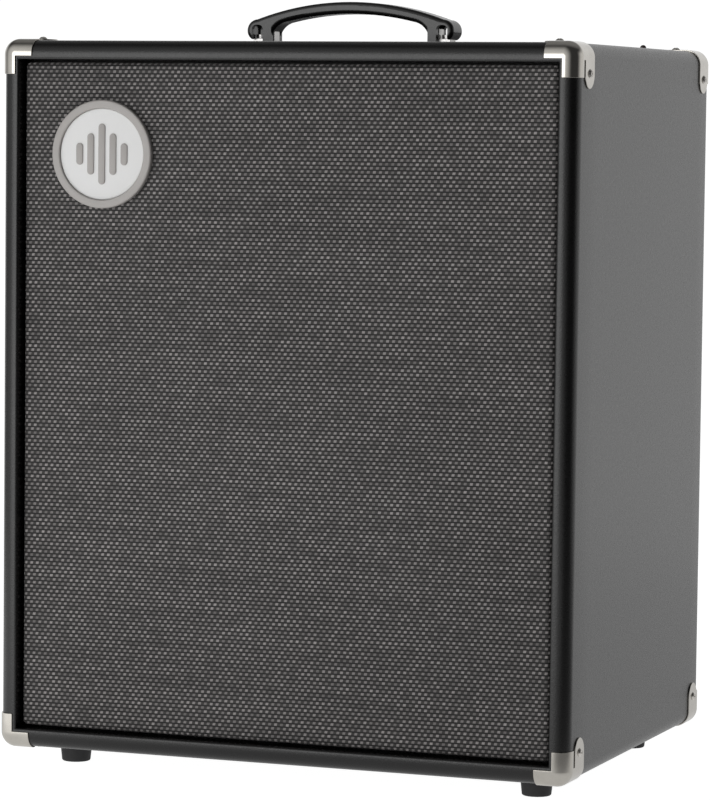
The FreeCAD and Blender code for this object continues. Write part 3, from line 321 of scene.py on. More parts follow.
BASKET = plastic("basket_paint", (0.02, 0.02, 0.021), 0.4, 0.6)
FERRITE = plastic("ferrite", (0.05, 0.05, 0.052), 0.6, 0.8, 700.0, 0.0001)
TRANSFORMER = plastic("transformer_paint", (0.02, 0.03, 0.06), 0.35, 0.5)
CIRCUIT = plastic("circuit_green", (0.01, 0.10, 0.04), 0.35, 0.5, 500.0)
WHITE_PRINT = plastic("white_print", (0.88, 0.88, 0.87), 0.5, 0.65, 900.0, 0.00001, 0.04)
PLYWOOD = wood("plywood", (0.42, 0.27, 0.14), (0.30, 0.18, 0.09), (40.0, 4.0, 40.0))
BLACK_BOARD = wood("black_board", grey(0.022), grey(0.012), (60.0, 60.0, 9.0))
CONE = fabric("cone_paper", grey(0.05), grey(0.02), 260.0)
SPIDER = fabric("spider_fabric", (0.36, 0.22, 0.08), (0.22, 0.12, 0.04), 500.0)


def lamp_glass():
    """The smoked lens of the pilot lamp, dark while the amplifier is off."""
    n = Nodes("lamp_plastic")
    n.color(n.ramp(n.noise(200.0), [(0.3, (0.020, 0.008, 0.007)), (0.7, (0.032, 0.012, 0.010))]))
    n.rough(n.noise(300.0), 0.06, 0.12)
    n.set(Coat_Weight=0.6, Coat_Roughness=0.05)
    return n.material


LAMP = lamp_glass()

# ---------------------------------------------------------------- mesh helpers


def place_piece(name, bm, material, body="cabinet", replaces=(), sharp=None):
    """Turns bm into a piece riding on body, smooth except at edges above the sharp angle."""
    mesh = bpy.data.meshes.new(name)
    bmesh.ops.recalc_face_normals(bm, faces=bm.faces)
    for face in bm.faces:
        face.smooth = True
    bm.to_mesh(mesh)
    bm.free()
    if sharp is not None:
        mesh.set_sharp_from_angle(angle=math.radians(sharp))
    mesh.materials.append(material)
    piece = bpy.data.objects.new(name, mesh)
    scene.collection.objects.link(piece)
    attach(piece, body)
    if replaces:
        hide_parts(*replaces)
    return piece


def weighted(piece):
    """Keeps flat faces flat-shaded beside their rounded edges."""
    modifier = piece.modifiers.new("weighted", "WEIGHTED_NORMAL")
    modifier.keep_sharp = True
    modifier.weight = 80


def add_grid(bm, rows, closed_rows=False, closed_columns=False):
    """Faces between rows of points given in millimetres."""
    verts = [[bm.verts.new(Vector(point) * MM) for point in row] for row in rows]
    count = len(verts[0])
    pairs = list(zip(verts, verts[1:]))
    if closed_rows:
        pairs.append((verts[-1], verts[0]))
    for one, two in pairs:
        for i in range(count if closed_columns else count - 1):
            j = (i + 1) % count
            bm.faces.new((one[i], one[j], two[j], two[i]))
    return verts


def lathe(bm, profile, origin, axis, steps=48, close=False):
    """A turned form from (radius, distance along axis) points about origin."""
    axis = Vector(axis).normalized()
    side = Vector((0, 0, 1)) if abs(axis.z) < 0.5 else Vector((1, 0, 0))
    other = axis.cross(side)
    rows = []
    for radius, along in profile:
        ring = []
        for k in range(steps):
            turn = 2 * math.pi * k / steps
            spread = side * math.cos(turn) + other * math.sin(turn)
            ring.append(Vector(origin) + axis * along + spread * radius)
        rows.append(ring)
    verts = add_grid(bm, rows, closed_rows=close, closed_columns=True)
    if not close:
        for ring in (verts[0], verts[-1]):
            bm.faces.new(ring)
    return verts


def arc(centre, radius, start, end, steps):
    """Points of an arc in a plane, angles in degrees."""
    points = []
    for k in range(steps + 1):
        turn = math.radians(start + (end - start) * k / steps)
        points.append((centre[0] + radius * math.cos(turn), centre[1] + radius * math.sin(turn)))
    return points


def refined(node, material, width, body):
    """A CAD node's shape with its flat faces merged and its sharper edges rounded."""
    bm = bmesh.new()
    bm.from_mesh(CAD[node].data)
    bmesh.ops.remove_doubles(bm, verts=bm.verts, dist=1e-6)
    bmesh.ops.dissolve_limit(bm, angle_limit=math.radians(0.4), verts=bm.verts, edges=bm.edges)
    sharp = math.radians(30.0)
    edges = [e for e in bm.edges if e.is_manifold and e.calc_face_angle(0.0) > sharp]
    bmesh.ops.bevel(
        bm, geom=edges, offset=width * MM, offset_type="OFFSET", segments=2,
        profile=0.5, affect="EDGES", clamp_overlap=False,
    )
    bmesh.ops.remove_doubles(bm, verts=bm.verts, dist=2e-6)
    weighted(place_piece("look_" + node, bm, material, body, (node,)))


# ---------------------------------------------------------------- covering

CORNER_STEPS = 8
MIN_RADIUS = 0.4
SKIN = 0.45
TOP_MARKS = (-201.5, -120.0, -40.0, 40.0, 120.0, 201.5)
SIDE_MARKS = (-220.0, -130.0, -45.0, 45.0, 130.0, 220.0)
RECESS_MARKS = (94.0, 126.0)
BODY_MARKS = (-140.0, -90.0, -40.0, 10.0)


def cabinet_loop(y, inset):
    """One loop round the cabinet at depth y, inset from its outer faces."""
    x = HALF_X - inset
    z = HALF_Z - inset
    radius = max(EDGE_R - inset, MIN_RADIUS)
    spans = (
        ((x - radius, -z + radius), -90.0, SIDE_MARKS, lambda m: (x, m)),
        ((x - radius, z - radius), 0.0, TOP_MARKS[::-1], lambda m: (m, z)),
        ((-x + radius, z - radius), 90.0, SIDE_MARKS[::-1], lambda m: (-x, m)),
        ((-x + radius, -z + radius), 180.0, TOP_MARKS, lambda m: (m, -z)),
    )
    loop = []
    for centre, start, marks, along in spans:
        loop += arc(centre, radius, start, start + 90.0, CORNER_STEPS)
        loop += [along(mark) for mark in marks]
    return [(px, y, MIDDLE_Z + pz) for px, pz in loop]


def make_covering():
    """The vinyl skin: both lips, both linings, the rounded outside and the control recess."""
    steps = [(LINING_FRONT, WALL), (-176.0, WALL)]
    for dx, dy in arc((0.0, 0.0), LIP_R, 180.0, 270.0, 5):
        steps.append((-HALF_Y + LIP_R + dy, WALL - LIP_R - dx))
    for dx, dy in arc((0.0, 0.0), EDGE_R, 270.0, 360.0, 12):
        steps.append((-HALF_Y + EDGE_R + dy, EDGE_R - dx))
    hole = (RECESS_Y - RECESS_HALF_Y - RECESS_LIP, RECESS_Y + RECESS_HALF_Y + RECESS_LIP)
    steps += [(y, 0.0) for y in (*BODY_MARKS, hole[0], *RECESS_MARKS, hole[1])]
    for dx, dy in arc((0.0, 0.0), EDGE_R, 0.0, 90.0, 12):
        steps.append((HALF_Y - EDGE_R + dy, EDGE_R - dx))
    for dx, dy in arc((0.0, 0.0), LIP_R, 90.0, 180.0, 5):
        steps.append((HALF_Y - LIP_R + dy, WALL - LIP_R - dx))
    steps.append((LINING_REAR, WALL))
    bm = bmesh.new()
    add_grid(bm, [cabinet_loop(y, inset) for y, inset in steps], closed_columns=True)
    gone = []
    for face in bm.faces:
        middle = face.calc_center_median() / MM
        over = abs(middle.x) < TOP_MARKS[-1] and hole[0] < middle.y < hole[1]
        if over and middle.z > HIGH_Z - 0.1:
            gone.append(face)
    bmesh.ops.delete(bm, geom=gone, context="FACES")
    rings = []
    for px, py in arc((0.0, 0.0), RECESS_LIP, 90.0, 0.0, 4):
        rings.append((HIGH_Z - (RECESS_LIP - py), RECESS_LIP - px))
    rings.append((RECESS_FLOOR, 0.0))
    rows = []
    for z, out in rings:
        x = RECESS_HALF_X + out
        low = RECESS_Y - RECESS_HALF_Y - out
        high = RECESS_Y + RECESS_HALF_Y + out
        row = [(-x, low, z)] + [(m, low, z) for m in TOP_MARKS[1:-1]] + [(x, low, z)]
        row += [(x, m, z) for m in RECESS_MARKS] + [(x, high, z)]
        row += [(m, high, z) for m in TOP_MARKS[-2:0:-1]] + [(-x, high, z)]
        row += [(-x, m, z) for m in RECESS_MARKS[::-1]]
        rows.append(row)
    add_grid(bm, rows, closed_columns=True)
    bmesh.ops.remove_doubles(bm, verts=bm.verts, dist=1e-6)
    piece = place_piece("covering", bm, VINYL, replaces=("vinyl_covering",), sharp=50)
    skin = piece.modifiers.new("skin", "SOLIDIFY")
    skin.thickness = SKIN * MM
    skin.offset = -1.0
    skin.use_even_offset = True


# ---------------------------------------------------------------- grille cloth

CLOTH_QUARTER = CLOTH_EDGE_R * math.pi / 2


def along_section(distance):
    """In-plane reach and setback of cloth at an unrolled distance past its flat part."""
    if distance <= 0:
        return 0.0, 0.0
    if distance < CLOTH_QUARTER:
        turn = distance / CLOTH_EDGE_R
        return CLOTH_EDGE_R * math.sin(turn), CLOTH_EDGE_R * (1 - math.cos(turn))
    return CLOTH_EDGE_R, CLOTH_EDGE_R + distance - CLOTH_QUARTER


def samples(flat, step, extra):
    """Unrolled sample distances: even ones across the face and round its edges, then extra."""
    reach = flat + CLOTH_QUARTER
    count = int(reach / step)
    inner = [k * step for k in range(-count, count + 1)]
    return [-reach - e for e in extra[::-1]] + inner + [reach + e for e in extra]


def make_cloth():
    """The cloth: every row and dash of the weave is a raised crown on one sheet."""
    flat_x = CLOTH_HALF_X - CLOTH_EDGE_R
    flat_z = CLOTH_HALF_Z - CLOTH_EDGE_R
    depth = CLOTH_BACK - CLOTH_FRONT - CLOTH_EDGE_R
    extra = (0.0, depth / 2, depth)
    us = samples(flat_x, WEAVE_DASH / 3, extra)
    half_row = WEAVE_ROW / 2
    start = round(MIDDLE_Z / half_row) * half_row - MIDDLE_Z
    vs = samples(flat_z, half_row, extra)
    rows = []
    for v in vs:
        wrapped = abs(v) > flat_z + CLOTH_QUARTER - 0.01
        z_here = MIDDLE_Z + v + (0.0 if wrapped else start)
        row_number = math.floor(z_here / WEAVE_ROW + 0.001)
        ridge = abs((z_here / WEAVE_ROW) % 1.0 - 0.5) < 0.25
        offset = 0.0 if row_number % 2 else WEAVE_DASH / 2
        row = []
        for u in us:
            w = z_here - MIDDLE_Z
            du = max(abs(u) - flat_x, 0.0)
            dw = max(abs(w) - flat_z, 0.0)
            travel = math.hypot(du, dw)
            reach, back = along_section(travel)
            share_u = du / travel if travel > 0 else 0.0
            share_w = dw / travel if travel > 0 else 0.0
            x = math.copysign(min(abs(u), flat_x) + reach * share_u, u)
            z = math.copysign(min(abs(w), flat_z) + reach * share_w, w)
            phase = ((x + offset) / WEAVE_DASH) % 1.0
            crown = 0.5 - 0.5 * math.cos(2 * math.pi * phase) if ridge else 0.0
            lift = WEAVE_HEIGHT * (0.25 * ridge + 0.75 * crown) if back < CLOTH_EDGE_R else 0.0
            row.append((x, CLOTH_FRONT + CLOTH_SUNK + back - lift, MIDDLE_Z + z))
        rows.append(row)
    bm = bmesh.new()
    add_grid(bm, rows)
    piece = place_piece("cloth", bm, CLOTH, replaces=("grille_cloth",))


# ---------------------------------------------------------------- badge

def make_badge():
    """A grey ring with rolled edges, a satin white face and five rounded level bars."""
    out = (0.0, -1.0, 0.0)
    origin = (BADGE_X, CLOTH_FRONT, BADGE_Z)
    bm = bmesh.new()
    profile = [(37.6, 0.0), (44.3, 0.0), (44.5, 0.4), (44.5, 3.6)]
    profile += arc((43.1, 3.6), 1.4, 0.0, 90.0, 5)
    profile += arc((38.8, 3.8), 1.2, 90.0, 180.0, 5)
    profile += [(37.6, 3.0)]
    lathe(bm, profile, origin, out, 96, close=True)
    place_piece("badge_rim", bm, BADGE_GREY, replaces=("badge_ring",), sharp=50)
    bm = bmesh.new()
    profile = [(37.5, 0.1), (37.5, 2.6), (37.2, 2.9), (36.6, 3.0), (20.0, 3.05), (2.0, 3.08)]
    lathe(bm, profile, origin, out, 96)
    place_piece("badge_plate", bm, BADGE_WHITE, replaces=("badge_face",), sharp=50)
    bm = bmesh.new()
    face_y = CLOTH_FRONT - 2.9
    bar_pitch = 10.0
    bar_half = 3.0
    for index, height in enumerate((18.0, 34.0, 50.0, 34.0, 18.0)):
        x = BADGE_X + (index - 2) * bar_pitch
        stem = height / 2 - bar_half
        loops = []
        for inset, lift in ((0.0, 0.0), (0.0, 0.75), (0.12, 0.98), (0.4, 1.1)):
            half = bar_half - inset
            loop = arc((x, BADGE_Z + stem), half, 0.0, 180.0, 10)
            loop += arc((x, BADGE_Z - stem), half, 180.0, 360.0, 10)
            loops.append([(px, face_y - lift, pz) for px, pz in loop])
        verts = add_grid(bm, loops, closed_columns=True)
        bm.faces.new(verts[-1])
        bm.faces.new(verts[0])
    place_piece("badge_bars", bm, BADGE_GREY, replaces=("badge_emblem",), sharp=50)


# ---------------------------------------------------------------- feet

def make_feet():
    """Turned rubber feet with a rounded tread, a moulding line and a sunk screw seat."""
    for end, end_name in ((-1, "front"), (1, "rear")):
        for side, side_name in ((-1, "left"), (1, "right")):
            origin = (side * FOOT_X, end * FOOT_Y, 0.0)
            bm = bmesh.new()
            profile = [(5.5, 7.0), (5.5, 1.0), (5.9, 0.3), (6.6, 0.0), (10.6, 0.0)]
            profile += arc((10.6, 1.5), 1.5, -90.0, 0.0, 5)
            profile += [(12.3, 3.2), (13.2, 11.6), (13.25, 12.0), (12.95, 12.2), (12.95, 12.8)]
            profile += [(13.4, 13.0), (13.9, 17.2), (13.6, 17.95), (2.6, 17.95), (2.6, 7.0)]
            lathe(bm, profile, origin, (0, 0, 1), 64, close=True)
            name = f"foot_{end_name}_{side_name}"
            place_piece("tread_" + name, bm, RUBBER, replaces=(name,), sharp=45)


# ---------------------------------------------------------------- knobs

# Radius, height above the base and depth of the flutes at each level of a knob.
KNOB_LEVELS = (
    (3.1, 0.2, 0.0), (9.2, 0.2, 0.0), (9.5, 0.5, 0.0), (9.4, 2.2, 0.0), (9.0, 2.7, 0.0),
    (8.85, 3.2, 0.55), (8.3, 10.8, 0.5), (7.9, 11.7, 0.3), (7.2, 12.3, 0.0),
    (6.6, 12.4, 0.0), (6.2, 12.0, 0.0), (1.2, 11.8, 0.0),
)
FLUTES = 20
STEPS_PER_FLUTE = 6
POINTER_HALF = 0.6
POINTER_FAR = 6.9
POINTER_NEAR = 1.0


def make_knobs():
    """Fluted knobs, each with a skirt, a dished top and an inlaid pointer."""
    count = FLUTES * STEPS_PER_FLUTE
    for x, name in zip(KNOB_X, KNOBS):
        bm = bmesh.new()
        rows = []
        for radius, up, depth in KNOB_LEVELS:
            ring = []
            for k in range(count):
                turn = 2 * math.pi * k / count
                wave = 0.5 - 0.5 * math.cos(turn * FLUTES)
                r = radius - depth * wave**2
                ring.append((x + r * math.sin(turn), RECESS_Y - r * math.cos(turn), KNOB_BASE + up))
            rows.append(ring)
        verts = add_grid(bm, rows, closed_columns=True)
        bm.faces.new(verts[0])
        bm.faces.new(verts[-1])
        place_piece("grip_" + name, bm, KNOB, body=name, replaces=(name,), sharp=40)
        bm = bmesh.new()
        rows = []
        for lift, inset in ((11.7, 0.0), (12.3, 0.0), (12.42, 0.12)):
            wide = POINTER_HALF - inset
            far = RECESS_Y - POINTER_FAR + inset
            near = RECESS_Y - POINTER_NEAR - inset
            top = KNOB_BASE + lift
            rows.append([(x - wide, far, top), (x + wide, far, top),
                         (x + wide, near, top), (x - wide, near, top)])
        verts = add_grid(bm, rows, closed_columns=True)
        bm.faces.new(verts[0])
        bm.faces.new(verts[-1])
        place_piece("pointer_" + name, bm, WHITE_PRINT, body=name, sharp=40)


# ---------------------------------------------------------------- printed marks

PRINT_LOW = 0.01
PRINT_HIGH = 0.06
SCALE_STEPS = 20
SCALE_TURN = 150.0
TICK_NEAR = 11.8
LABEL_RADIUS = 17.6
LABEL_SIZE = 4.2
LABEL_EXTRUDE = 0.03
JACK_RING_R = 10.5
MUTE_RING_R = 7.5


def flat_text(label, size):
    """The mesh of a short printed number, centred, in the XY plane."""
    curve = bpy.data.curves.new("label", "FONT")
    curve.body = label
    curve.size = size
    curve.align_x = "CENTER"
    curve.align_y = "CENTER"
    curve.extrude = LABEL_EXTRUDE * MM
    holder = bpy.data.objects.new("label", curve)
    scene.collection.objects.link(holder)
    evaluated = holder.evaluated_get(bpy.context.evaluated_depsgraph_get())
    mesh = bpy.data.meshes.new_from_object(evaluated)
    bpy.data.objects.remove(holder)
    bpy.data.curves.remove(curve)
    return mesh


def make_scales():
    """Tick marks and the numbers 0 to 10 round each knob, clockwise and read from behind."""
    bm = bmesh.new()
    labels = {k: flat_text(str(k), LABEL_SIZE * MM) for k in range(0, 11, 2)}
    for x in KNOB_X:
        for step in range(SCALE_STEPS + 1):
            turn = math.radians(SCALE_TURN - 2 * SCALE_TURN * step / SCALE_STEPS)
            direction = Vector((math.sin(turn), -math.cos(turn), 0.0))
            sideways = Vector((direction.y, -direction.x, 0.0))
            long = step % 4 == 0
            far = 14.4 if long else 13.4
            half = 0.36 if long else 0.24
            tick = ((TICK_NEAR, -half), (far, -half), (far, half), (TICK_NEAR, half))
            corners = []
            for z in (PANEL_TOP + PRINT_LOW, PANEL_TOP + PRINT_HIGH):
                base = Vector((x, RECESS_Y, z))
                corners.append([tuple(base + direction * d + sideways * s) for d, s in tick])
            verts = add_grid(bm, corners, closed_columns=True)
            bm.faces.new(verts[0])
            bm.faces.new(verts[-1])
            if long:
                spot = Vector((x, RECESS_Y, PANEL_TOP + 0.04)) + direction * LABEL_RADIUS
                copy = labels[step // 2].copy()
                copy.transform(Matrix.Translation(spot * MM) @ Matrix.Rotation(math.pi, 4, "Z"))
                bm.from_mesh(copy)
    place_piece("printed_scales", bm, WHITE_PRINT, sharp=40)


def box_mm(node):
    """The corners of a CAD node's box in millimetres."""
    low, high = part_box(node)
    return Vector(low) / MM, Vector(high) / MM


def add_band(bm, outline, width, put):
    """A thin printed line inside an outline of (u, v, inward u, inward v) points."""
    rows = []
    corners = ((0.0, PRINT_LOW), (0.0, PRINT_HIGH), (1.0, PRINT_HIGH), (1.0, PRINT_LOW))
    for share, lift in corners:
        row = []
        for u, v, inward_u, inward_v in outline:
            row.append(put(u + inward_u * width * share, v + inward_v * width * share, lift))
        rows.append(row)
    add_grid(bm, rows, closed_rows=True, closed_columns=True)


def ring_outline(u, v, radius, steps=48):
    """A circle as outline points."""
    points = []
    for k in range(steps):
        turn = 2 * math.pi * k / steps
        cos, sin = math.cos(turn), math.sin(turn)
        points.append((u + radius * cos, v + radius * sin, -cos, -sin))
    return points


def box_outline(u, v, half_u, half_v, radius):
    """A rectangle with rounded corners as outline points."""
    points = []
    for side_u, side_v, start in ((1, 1, 0), (-1, 1, 90), (-1, -1, 180), (1, -1, 270)):
        for k in range(7):
            turn = math.radians(start + 15 * k)
            cos, sin = math.cos(turn), math.sin(turn)
            points.append((u + side_u * (half_u - radius) + radius * cos,
                           v + side_v * (half_v - radius) + radius * sin, -cos, -sin))
    return points


def make_marks():
    """Printed borders and rings on the control panel and the rear plate."""
    low, high = box_mm("rear_connector_plate")
    centre = (low + high) / 2
    half = (high - low) / 2

    def on_panel(u, v, lift):
        return (u, RECESS_Y + v, PANEL_TOP + lift)

    def on_plate(u, v, lift):
        return (u, high.y + lift, v)

    bm = bmesh.new()
    add_band(bm, box_outline(0.0, 0.0, 195.0, 41.0, 4.0), 0.7, on_panel)
    add_band(bm, box_outline(0.0, 0.0, 124.0, 30.0, 6.0), 0.5, on_panel)
    for x in PANEL_JACK_X:
        add_band(bm, ring_outline(x, 0.0, JACK_RING_R), 0.6, on_panel)
    add_band(bm, ring_outline(MUTE_X, 0.0, MUTE_RING_R), 0.5, on_panel)
    border = box_outline(centre.x, centre.z, half.x - 3.0, half.z - 3.0, 3.0)
    add_band(bm, border, 0.7, on_plate)
    for x in REAR_JACK_X:
        add_band(bm, ring_outline(x, REAR_JACK_Z, JACK_RING_R), 0.6, on_plate)
    between_jacks = sum(REAR_JACK_X) / 2
    add_band(bm, box_outline(between_jacks, REAR_JACK_Z, 36.0, 16.0, 4.0), 0.5, on_plate)
    place_piece("printed_marks", bm, WHITE_PRINT, sharp=40)
    return centre, half, high.y


def make_plate_screws(centre, half, face_y):
    """Dished screw heads at the corners of the rear plate and the control panel."""
    bm = bmesh.new()
    head = [(3.2, 0.0), (3.2, 0.5), (2.6, 1.2), (1.4, 1.5), (1.1, 1.1), (0.2, 1.0)]
    inset = 7.0
    panel_x, panel_y = 189.5, 35.5
    for side in (-1, 1):
        for level in (-1, 1):
            x = centre.x + side * (half.x - inset)
            z = centre.z + level * (half.z - inset)
            lathe(bm, head, (x, face_y, z), (0, 1, 0), 24)
            spot = (side * panel_x, RECESS_Y + level * panel_y, PANEL_TOP)
            lathe(bm, head, spot, (0, 0, 1), 24)
    place_piece("plate_screws", bm, SCREW, sharp=45)


# ---------------------------------------------------------------- camera, light and floor

# The camera's place in metres, its turn in degrees and its lens in millimetres.
CAMERA_PLACE = (1.15642, -3.07847, 0.54282)
CAMERA_YAW = 20.6906
CAMERA_PITCH = 4.1256
CAMERA_ROLL = 0.6542
CAMERA_LENS = 172.97


def make_camera():
    """A long lens to the right of the front, looking slightly down."""
    yaw = math.radians(CAMERA_YAW)
    pitch = math.radians(CAMERA_PITCH)
    roll = math.radians(CAMERA_ROLL)
    level = math.cos(pitch)
    forward = Vector((-math.sin(yaw) * level, math.cos(yaw) * level, -math.sin(pitch)))
    right = Vector((math.cos(yaw), math.sin(yaw), 0.0))
    up = right.cross(forward)
    right, up = (
        right * math.cos(roll) + up * math.sin(roll),
        up * math.cos(roll) - right * math.sin(roll),
    )
    data = bpy.data.cameras.new("camera")
    data.sensor_width = 36.0
    data.lens = CAMERA_LENS
    data.clip_end = 100.0
    camera = bpy.data.objects.new("camera", data)
    scene.collection.objects.link(camera)
    turn = Matrix((right, up, -forward)).transposed().to_4x4()
    camera.matrix_world = Matrix.Translation(CAMERA_PLACE) @ turn
    scene.camera = camera


# Lights of the studio: strength, direction, and the angles where each is full and gone.
STUDIO_LIGHTS = (
    (2.4, (-0.36, -0.93, 0.06), 2.0, 24.0),
    (0.8, (-0.53, -0.85, 0.08), 5.0, 75.0),
    (0.22, (0.0, 0.55, 0.83), 8.0, 50.0),
)
BACKDROP = (0.80, (0.0, 1.0, 0.0), 55.0, 95.0)
BACKDROP_GONE_Z = 0.62
BACKDROP_FULL_Z = 0.20
STUDIO_BASE = 0.05
SEEN_WHITE = 1.05


def make_world():
    """A white studio: bright behind and at the front left, darker overhead and at the right."""
    world = bpy.data.worlds.new("studio")
    world.use_nodes = True
    tree = world.node_tree
    tree.nodes.clear()
    output = tree.nodes.new("ShaderNodeOutputWorld")
    place = tree.nodes.new("ShaderNodeTexCoord").outputs["Generated"]

    def lobe(direction, inner, outer):
        """1 within the inner angle of a direction, easing to 0 at the outer angle."""
        dot = tree.nodes.new("ShaderNodeVectorMath")
        dot.operation = "DOT_PRODUCT"
        tree.links.new(place, dot.inputs[0])
        dot.inputs[1].default_value = Vector(direction).normalized()
        ease = tree.nodes.new("ShaderNodeMapRange")
        ease.interpolation_type = "SMOOTHSTEP"
        ease.inputs["From Min"].default_value = math.cos(math.radians(outer))
        ease.inputs["From Max"].default_value = math.cos(math.radians(inner))
        tree.links.new(dot.outputs["Value"], ease.inputs["Value"])
        return ease.outputs["Result"]

    def total(parts, base):
        value = None
        for weight, socket in parts:
            times = tree.nodes.new("ShaderNodeMath")
            times.operation = "MULTIPLY_ADD"
            tree.links.new(socket, times.inputs[0])
            times.inputs[1].default_value = weight
            if value is None:
                times.inputs[2].default_value = base
            else:
                tree.links.new(value, times.inputs[2])
            value = times.outputs[0]
        return value

    height = tree.nodes.new("ShaderNodeSeparateXYZ")
    tree.links.new(place, height.inputs[0])
    low_band = tree.nodes.new("ShaderNodeMapRange")
    low_band.interpolation_type = "SMOOTHSTEP"
    low_band.inputs["From Min"].default_value = BACKDROP_GONE_Z
    low_band.inputs["From Max"].default_value = BACKDROP_FULL_Z
    tree.links.new(height.outputs["Z"], low_band.inputs["Value"])
    backdrop = tree.nodes.new("ShaderNodeMath")
    backdrop.operation = "MULTIPLY"
    tree.links.new(lobe(*BACKDROP[1:]), backdrop.inputs[0])
    tree.links.new(low_band.outputs["Result"], backdrop.inputs[1])
    parts = [(weight, lobe(*shape)) for weight, *shape in STUDIO_LIGHTS]
    parts.append((BACKDROP[0], backdrop.outputs[0]))
    strength = total(parts, STUDIO_BASE)
    studio = tree.nodes.new("ShaderNodeBackground")
    studio.inputs["Color"].default_value = (1.0, 1.0, 1.0, 1.0)
    tree.links.new(strength, studio.inputs["Strength"])
    plain = tree.nodes.new("ShaderNodeBackground")
    plain.inputs["Color"].default_value = (1.0, 1.0, 1.0, 1.0)
    plain.inputs["Strength"].default_value = SEEN_WHITE
    path = tree.nodes.new("ShaderNodeLightPath")
    choose = tree.nodes.new("ShaderNodeMixShader")
    tree.links.new(path.outputs["Is Camera Ray"], choose.inputs[0])
    tree.links.new(studio.outputs[0], choose.inputs[1])
    tree.links.new(plain.outputs[0], choose.inputs[2])
    tree.links.new(choose.outputs[0], output.inputs["Surface"])
    scene.world = world


FLOOR_RADIUS = 1.6
FLOOR_DROP = 0.05
FLOOR_GLOW = 0.62
FLOOR_SEEN_GLOW = 0.98


def make_floor():
    """A white disc of floor that gives off a little light and can be seen through from below; away
    from the camera that light is painted brighter far to the front left and darker far to the right
    front.
    """
    bm = bmesh.new()
    bmesh.ops.create_circle(bm, cap_ends=True, segments=128, radius=FLOOR_RADIUS)
    bmesh.ops.translate(bm, vec=(0.0, 0.0, -FLOOR_DROP * MM), verts=bm.verts)
    mesh = bpy.data.meshes.new("floor")
    bm.to_mesh(mesh)
    bm.free()
    n = Nodes("floor_white")
    n.color(n.ramp(n.noise(3.0), [(0.3, grey(0.38)), (0.7, grey(0.40))]))
    n.set(Roughness=0.9, Specular_IOR_Level=0.0, Emission_Color=(1.0, 1.0, 1.0, 1.0))
    split = n.add("ShaderNodeSeparateXYZ")
    n.join(n.place, split, "Vector")

    def ahead(x, y, near, far):
        """0 near the cabinet, easing to 1 at the far distance in a direction: the mask of a painted
        light or painted shade on the floor.
        """
        ease = n.add("ShaderNodeMapRange", interpolation_type="SMOOTHSTEP")
        reach = n.maths("ADD", n.maths("MULTIPLY", split.outputs["X"], x),
                        n.maths("MULTIPLY", split.outputs["Y"], y))
        ease.inputs["From Min"].default_value = near
        ease.inputs["From Max"].default_value = far
        n.join(reach, ease, "Value")
        return ease.outputs["Result"]

    # Painted light on the floor. The emission that lights the cabinet and shows in its reflections
    # is dimmed far to the right front as painted shade and raised far to the front left as painted
    # light. Camera rays see it evenly white.
    painted_floor_emission = n.maths("ADD", n.maths("MULTIPLY", ahead(0.77, -0.64, 0.33, 0.55), -0.5), FLOOR_GLOW)
    painted_floor_emission = n.maths("ADD", n.maths("MULTIPLY", ahead(-0.50, -0.87, 0.20, 0.60), 0.7), painted_floor_emission)
    seen = n.add("ShaderNodeMix", data_type="FLOAT")
    n.link(n.add("ShaderNodeLightPath"), "Is Camera Ray", seen, "Factor")
    n.join(painted_floor_emission, seen, 2)
    seen.inputs[3].default_value = FLOOR_SEEN_GLOW
    n.link(seen, 0, n.shader, "Emission Strength")
    see_through = n.add("ShaderNodeBsdfTransparent")
    sides = n.add("ShaderNodeNewGeometry")
    blend = n.add("ShaderNodeMixShader")
    n.link(sides, "Backfacing", blend, 0)
    n.link(n.shader, "BSDF", blend, 1)
    n.link(see_through, "BSDF", blend, 2)
    n.link(blend, "Shader", n.output, "Surface")
    mesh.materials.append(n.material)
    floor = bpy.data.objects.new("floor", mesh)
    scene.collection.objects.link(floor)


# ---------------------------------------------------------------- build

scene.view_settings.view_transform = "Standard"
make_camera()
make_world()
make_floor()
make_covering()
make_cloth()
make_badge()
make_feet()
make_knobs()
make_scales()
make_plate_screws(*make_marks())

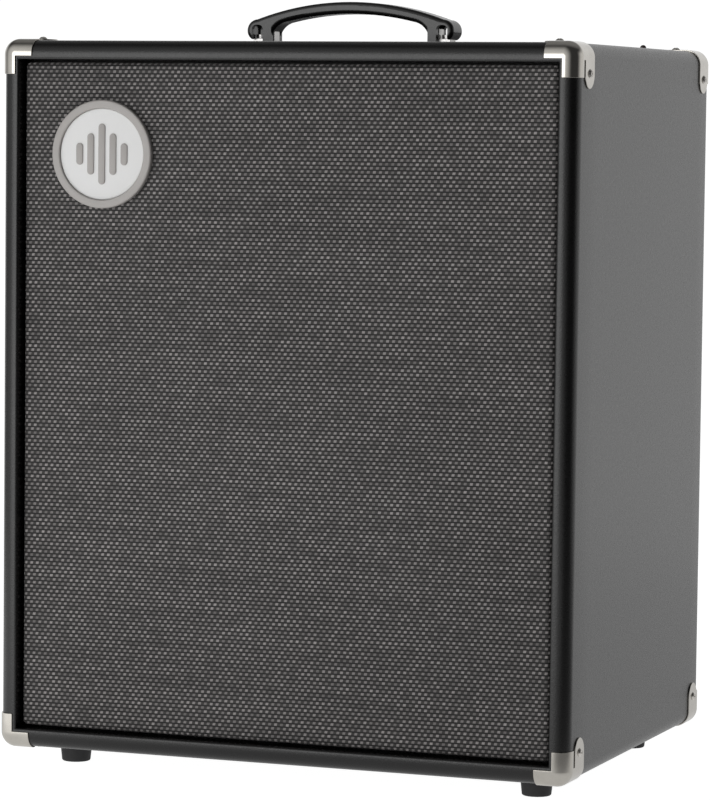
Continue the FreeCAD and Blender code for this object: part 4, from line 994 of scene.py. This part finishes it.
# CAD nodes redrawn with rounded edges: material, slot, edge width and the body they ride on.
REFINED = {
    f"corner_{end}_{level}_{side}": (NICKEL, "nickel", 0.35, "cabinet")
    for end in ("front", "rear") for level in ("top", "bottom") for side in ("left", "right")
}
REFINED.update({
    "wood_screws": (SCREW, "screw_steel", 0.15, "cabinet"),
    "handle_bracket_left": (PLATED, "plated_steel", 0.3, "cabinet"),
    "handle_bracket_right": (PLATED, "plated_steel", 0.3, "cabinet"),
    "handle_pins": (PLATED, "plated_steel", 0.25, "cabinet"),
    "handle_bolts": (PLATED, "plated_steel", 0.25, "cabinet"),
    "foot_screws": (SCREW, "screw_steel", 0.2, "cabinet"),
    "jack_sockets": (NICKEL, "nickel", 0.2, "cabinet"),
    "mute_button": (SWITCH, "switch_plastic", 0.15, "mute_button"),
    "power_rocker": (SWITCH, "switch_plastic", 0.3, "power_rocker"),
    "power_switch_housing": (SWITCH, "switch_plastic", 0.35, "cabinet"),
    "mains_inlet": (SWITCH, "switch_plastic", 0.35, "cabinet"),
    "rear_connector_plate": (PANEL, "panel_paint", 0.2, "cabinet"),
    "control_panel": (PANEL, "panel_paint", 0.15, "cabinet"),
    "pilot_lamp": (LAMP, "lamp_plastic", 0.2, "cabinet"),
})
for node, (material, slot, width, body) in REFINED.items():
    refined(node, material, width, body)

# The other CAD nodes keep their own shapes and only change material.
FINISHES = {
    "left_side_panel": PLYWOOD, "right_side_panel": PLYWOOD, "top_panel": PLYWOOD,
    "bottom_panel": PLYWOOD, "panel_battens": PLYWOOD, "front_baffle": BLACK_BOARD,
    "rear_panel": BLACK_BOARD, "grille_frame": BLACK_BOARD, "handle_grip": HANDLE,
    "woofer_basket": BASKET, "woofer_magnet": FERRITE, "woofer_top_plate": PLATED,
    "woofer_pole_plate": PLATED, "woofer_cone": CONE, "woofer_dust_cap": CONE,
    "woofer_voice_coil": COIL, "woofer_surround": SURROUND, "woofer_spider": SPIDER,
    "woofer_screws": SCREW, "port_tubes": PORT, "amp_chassis": PLATED, "circuit_board": CIRCUIT,
    "power_transformer": TRANSFORMER, "potentiometers": PLATED,
}
for node, material in FINISHES.items():
    slots = CAD[node].data.materials
    slots.clear()
    slots.append(material)
